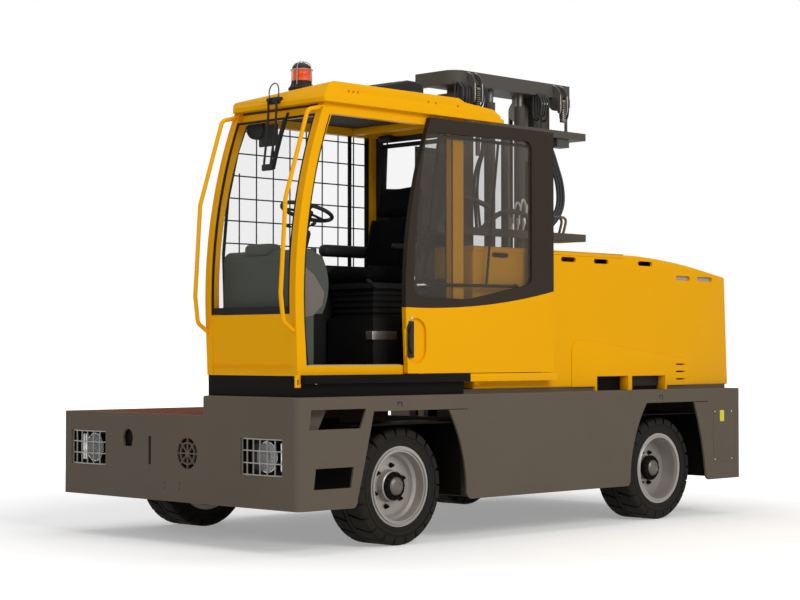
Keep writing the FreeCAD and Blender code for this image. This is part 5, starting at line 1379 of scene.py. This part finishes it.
def seat_slide():
    """Plate and slide under the seat, with the height lever."""
    plate = block((behind(1.221), 1.0, 1.484), (behind(0.967), 1.074, 1.547), 0.004)
    lever = rod_between((behind(1.0), 1.075, 1.86), (behind(0.93), 1.085, 1.9), 0.007, 12)
    knob = disc((behind(0.925), 1.086, 1.903), (0.9, 0.1, 0.4), 0.014, 0.045, 0.006, 16)
    dressed(plate, "Seat_slide_plate", bright_bolt)
    dressed([lever, knob], "Seat_lever", black_plastic)


def rail_feet():
    """Bolted feet of both handrails at the roof and the front panel."""
    feet = []
    for y in (0.355, 1.27):
        feet.append(disc((behind(0.03), y, 1.545), forward, 0.03, 0.014, 0.003))
        feet.append(disc((behind(0.278), y, 3.1), up, 0.03, 0.014, 0.003))
    dressed(feet, "Handrail_feet", yellow_paint)


roof_lining_panel()
side_window_trim()
rear_window_trim()
cab_mirror()
dash_trim()
seat_slide()
rail_feet()


# ---- chassis openings
def nose_insides():
    """Dark sheets behind the socket hole, the slot and the fan grille of the nose plate: painted shade inside
    these openings.
    """
    x = nose_x - 0.034
    pieces = [disc((x, -0.553, 0.755), forward, 0.08, 0.012, 0.002),
              disc((x, 0.15, 0.662), forward, 0.13, 0.012, 0.002),
              block((x - 0.006, -0.34, 0.55), (x + 0.006, -0.24, 0.79), 0.002)]
    dressed(pieces, "Nose_painted_shade", black_steel)


nose_insides()


# ---- floor, light, camera
def plain_floor():
    """White floor that keeps the shadow and fades into the white backdrop."""
    nothing_selected()
    bpy.ops.mesh.primitive_plane_add(size=120.0, location=(0, 0, 0))
    floor = bpy.context.object
    floor.name = "Floor"
    material, tree, shader = principled("Studio floor")
    feed(tree, shader, Base_Color=rgba((0.8, 0.8, 0.8)), Roughness=0.9, Specular_IOR_Level=0.1,
         Emission_Color=rgba((1, 1, 1)))
    place = added(tree, "VectorMath")
    place.operation = "LENGTH"
    put(tree, place.inputs[0], object_place(tree))
    far = ramp(tree, place.outputs["Value"], 3.2, 8.5)
    glow = math_node(tree, "ADD", math_node(tree, "MULTIPLY", far, 0.7), 0.3)
    feed(tree, shader, Emission_Strength=math_node(tree, "MULTIPLY", glow, seen_ray(tree)))
    floor.data.materials.append(material)


def seen_ray(tree):
    """1 for what the camera sees, also in mirrors and through glass."""
    rays = added(tree, "LightPath").outputs
    seen = math_node(tree, "ADD", rays["Is Camera Ray"], rays["Is Glossy Ray"])
    seen = math_node(tree, "ADD", seen, rays["Is Transmission Ray"])
    return math_node(tree, "MINIMUM", seen, 1.0)


def soft_light(name, location, target, size, power, colour=(1, 1, 1)):
    data = bpy.data.lights.new(name, "AREA")
    data.shape = "RECTANGLE"
    data.size = size[0]
    data.size_y = size[1]
    data.energy = power
    data.color = colour
    lamp = bpy.data.objects.new(name, data)
    bpy.context.collection.objects.link(lamp)
    lamp.location = location
    lamp.rotation_euler = (Vector(target) - Vector(location)).to_track_quat("-Z", "Y").to_euler()


def studio():
    plain_floor()
    world = bpy.data.worlds.new("Studio")
    bpy.context.scene.world = world
    world.use_nodes = True
    tree = world.node_tree
    plain = feed(tree, tree.nodes["Background"], Color=rgba((1, 1, 1)), Strength=0.38)
    white = added(tree, "Background", Color=rgba((1, 1, 1)), Strength=1.0)
    blend = added(tree, "MixShader", Fac=seen_ray(tree))
    put(tree, blend.inputs[1], plain.outputs[0])
    put(tree, blend.inputs[2], white.outputs[0])
    feed(tree, tree.nodes["World Output"], Surface=blend.outputs[0])
    soft_light("Key", (3.0, 13.0, 8.0), (0.0, 0.5, 1.4), (7.0, 5.0), 900.0, (1.0, 0.985, 0.96))
    soft_light("Front fill", (15.0, 1.0, 6.5), (0.5, 0.0, 1.6), (7.0, 5.0), 260.0)
    soft_light("Top", (0.0, 0.0, 11.0), (0.0, 0.0, 1.0), (9.0, 7.0), 320.0)


def camera():
    data = bpy.data.cameras.new("Camera")
    data.sensor_width = 36.0
    data.lens = 85.03
    data.clip_end = 200.0
    view = bpy.data.objects.new("Camera", data)
    bpy.context.collection.objects.link(view)
    view.location = (11.136, 10.875, 1.391)
    tilt = math.radians(1.59)
    ahead = Vector((-0.7093 * math.cos(tilt), -0.7049 * math.cos(tilt), math.sin(tilt)))
    view.rotation_euler = ahead.to_track_quat("-Z", "Y").to_euler()
    bpy.context.scene.camera = view


studio()
camera()
bpy.context.scene.view_settings.view_transform = "Standard"
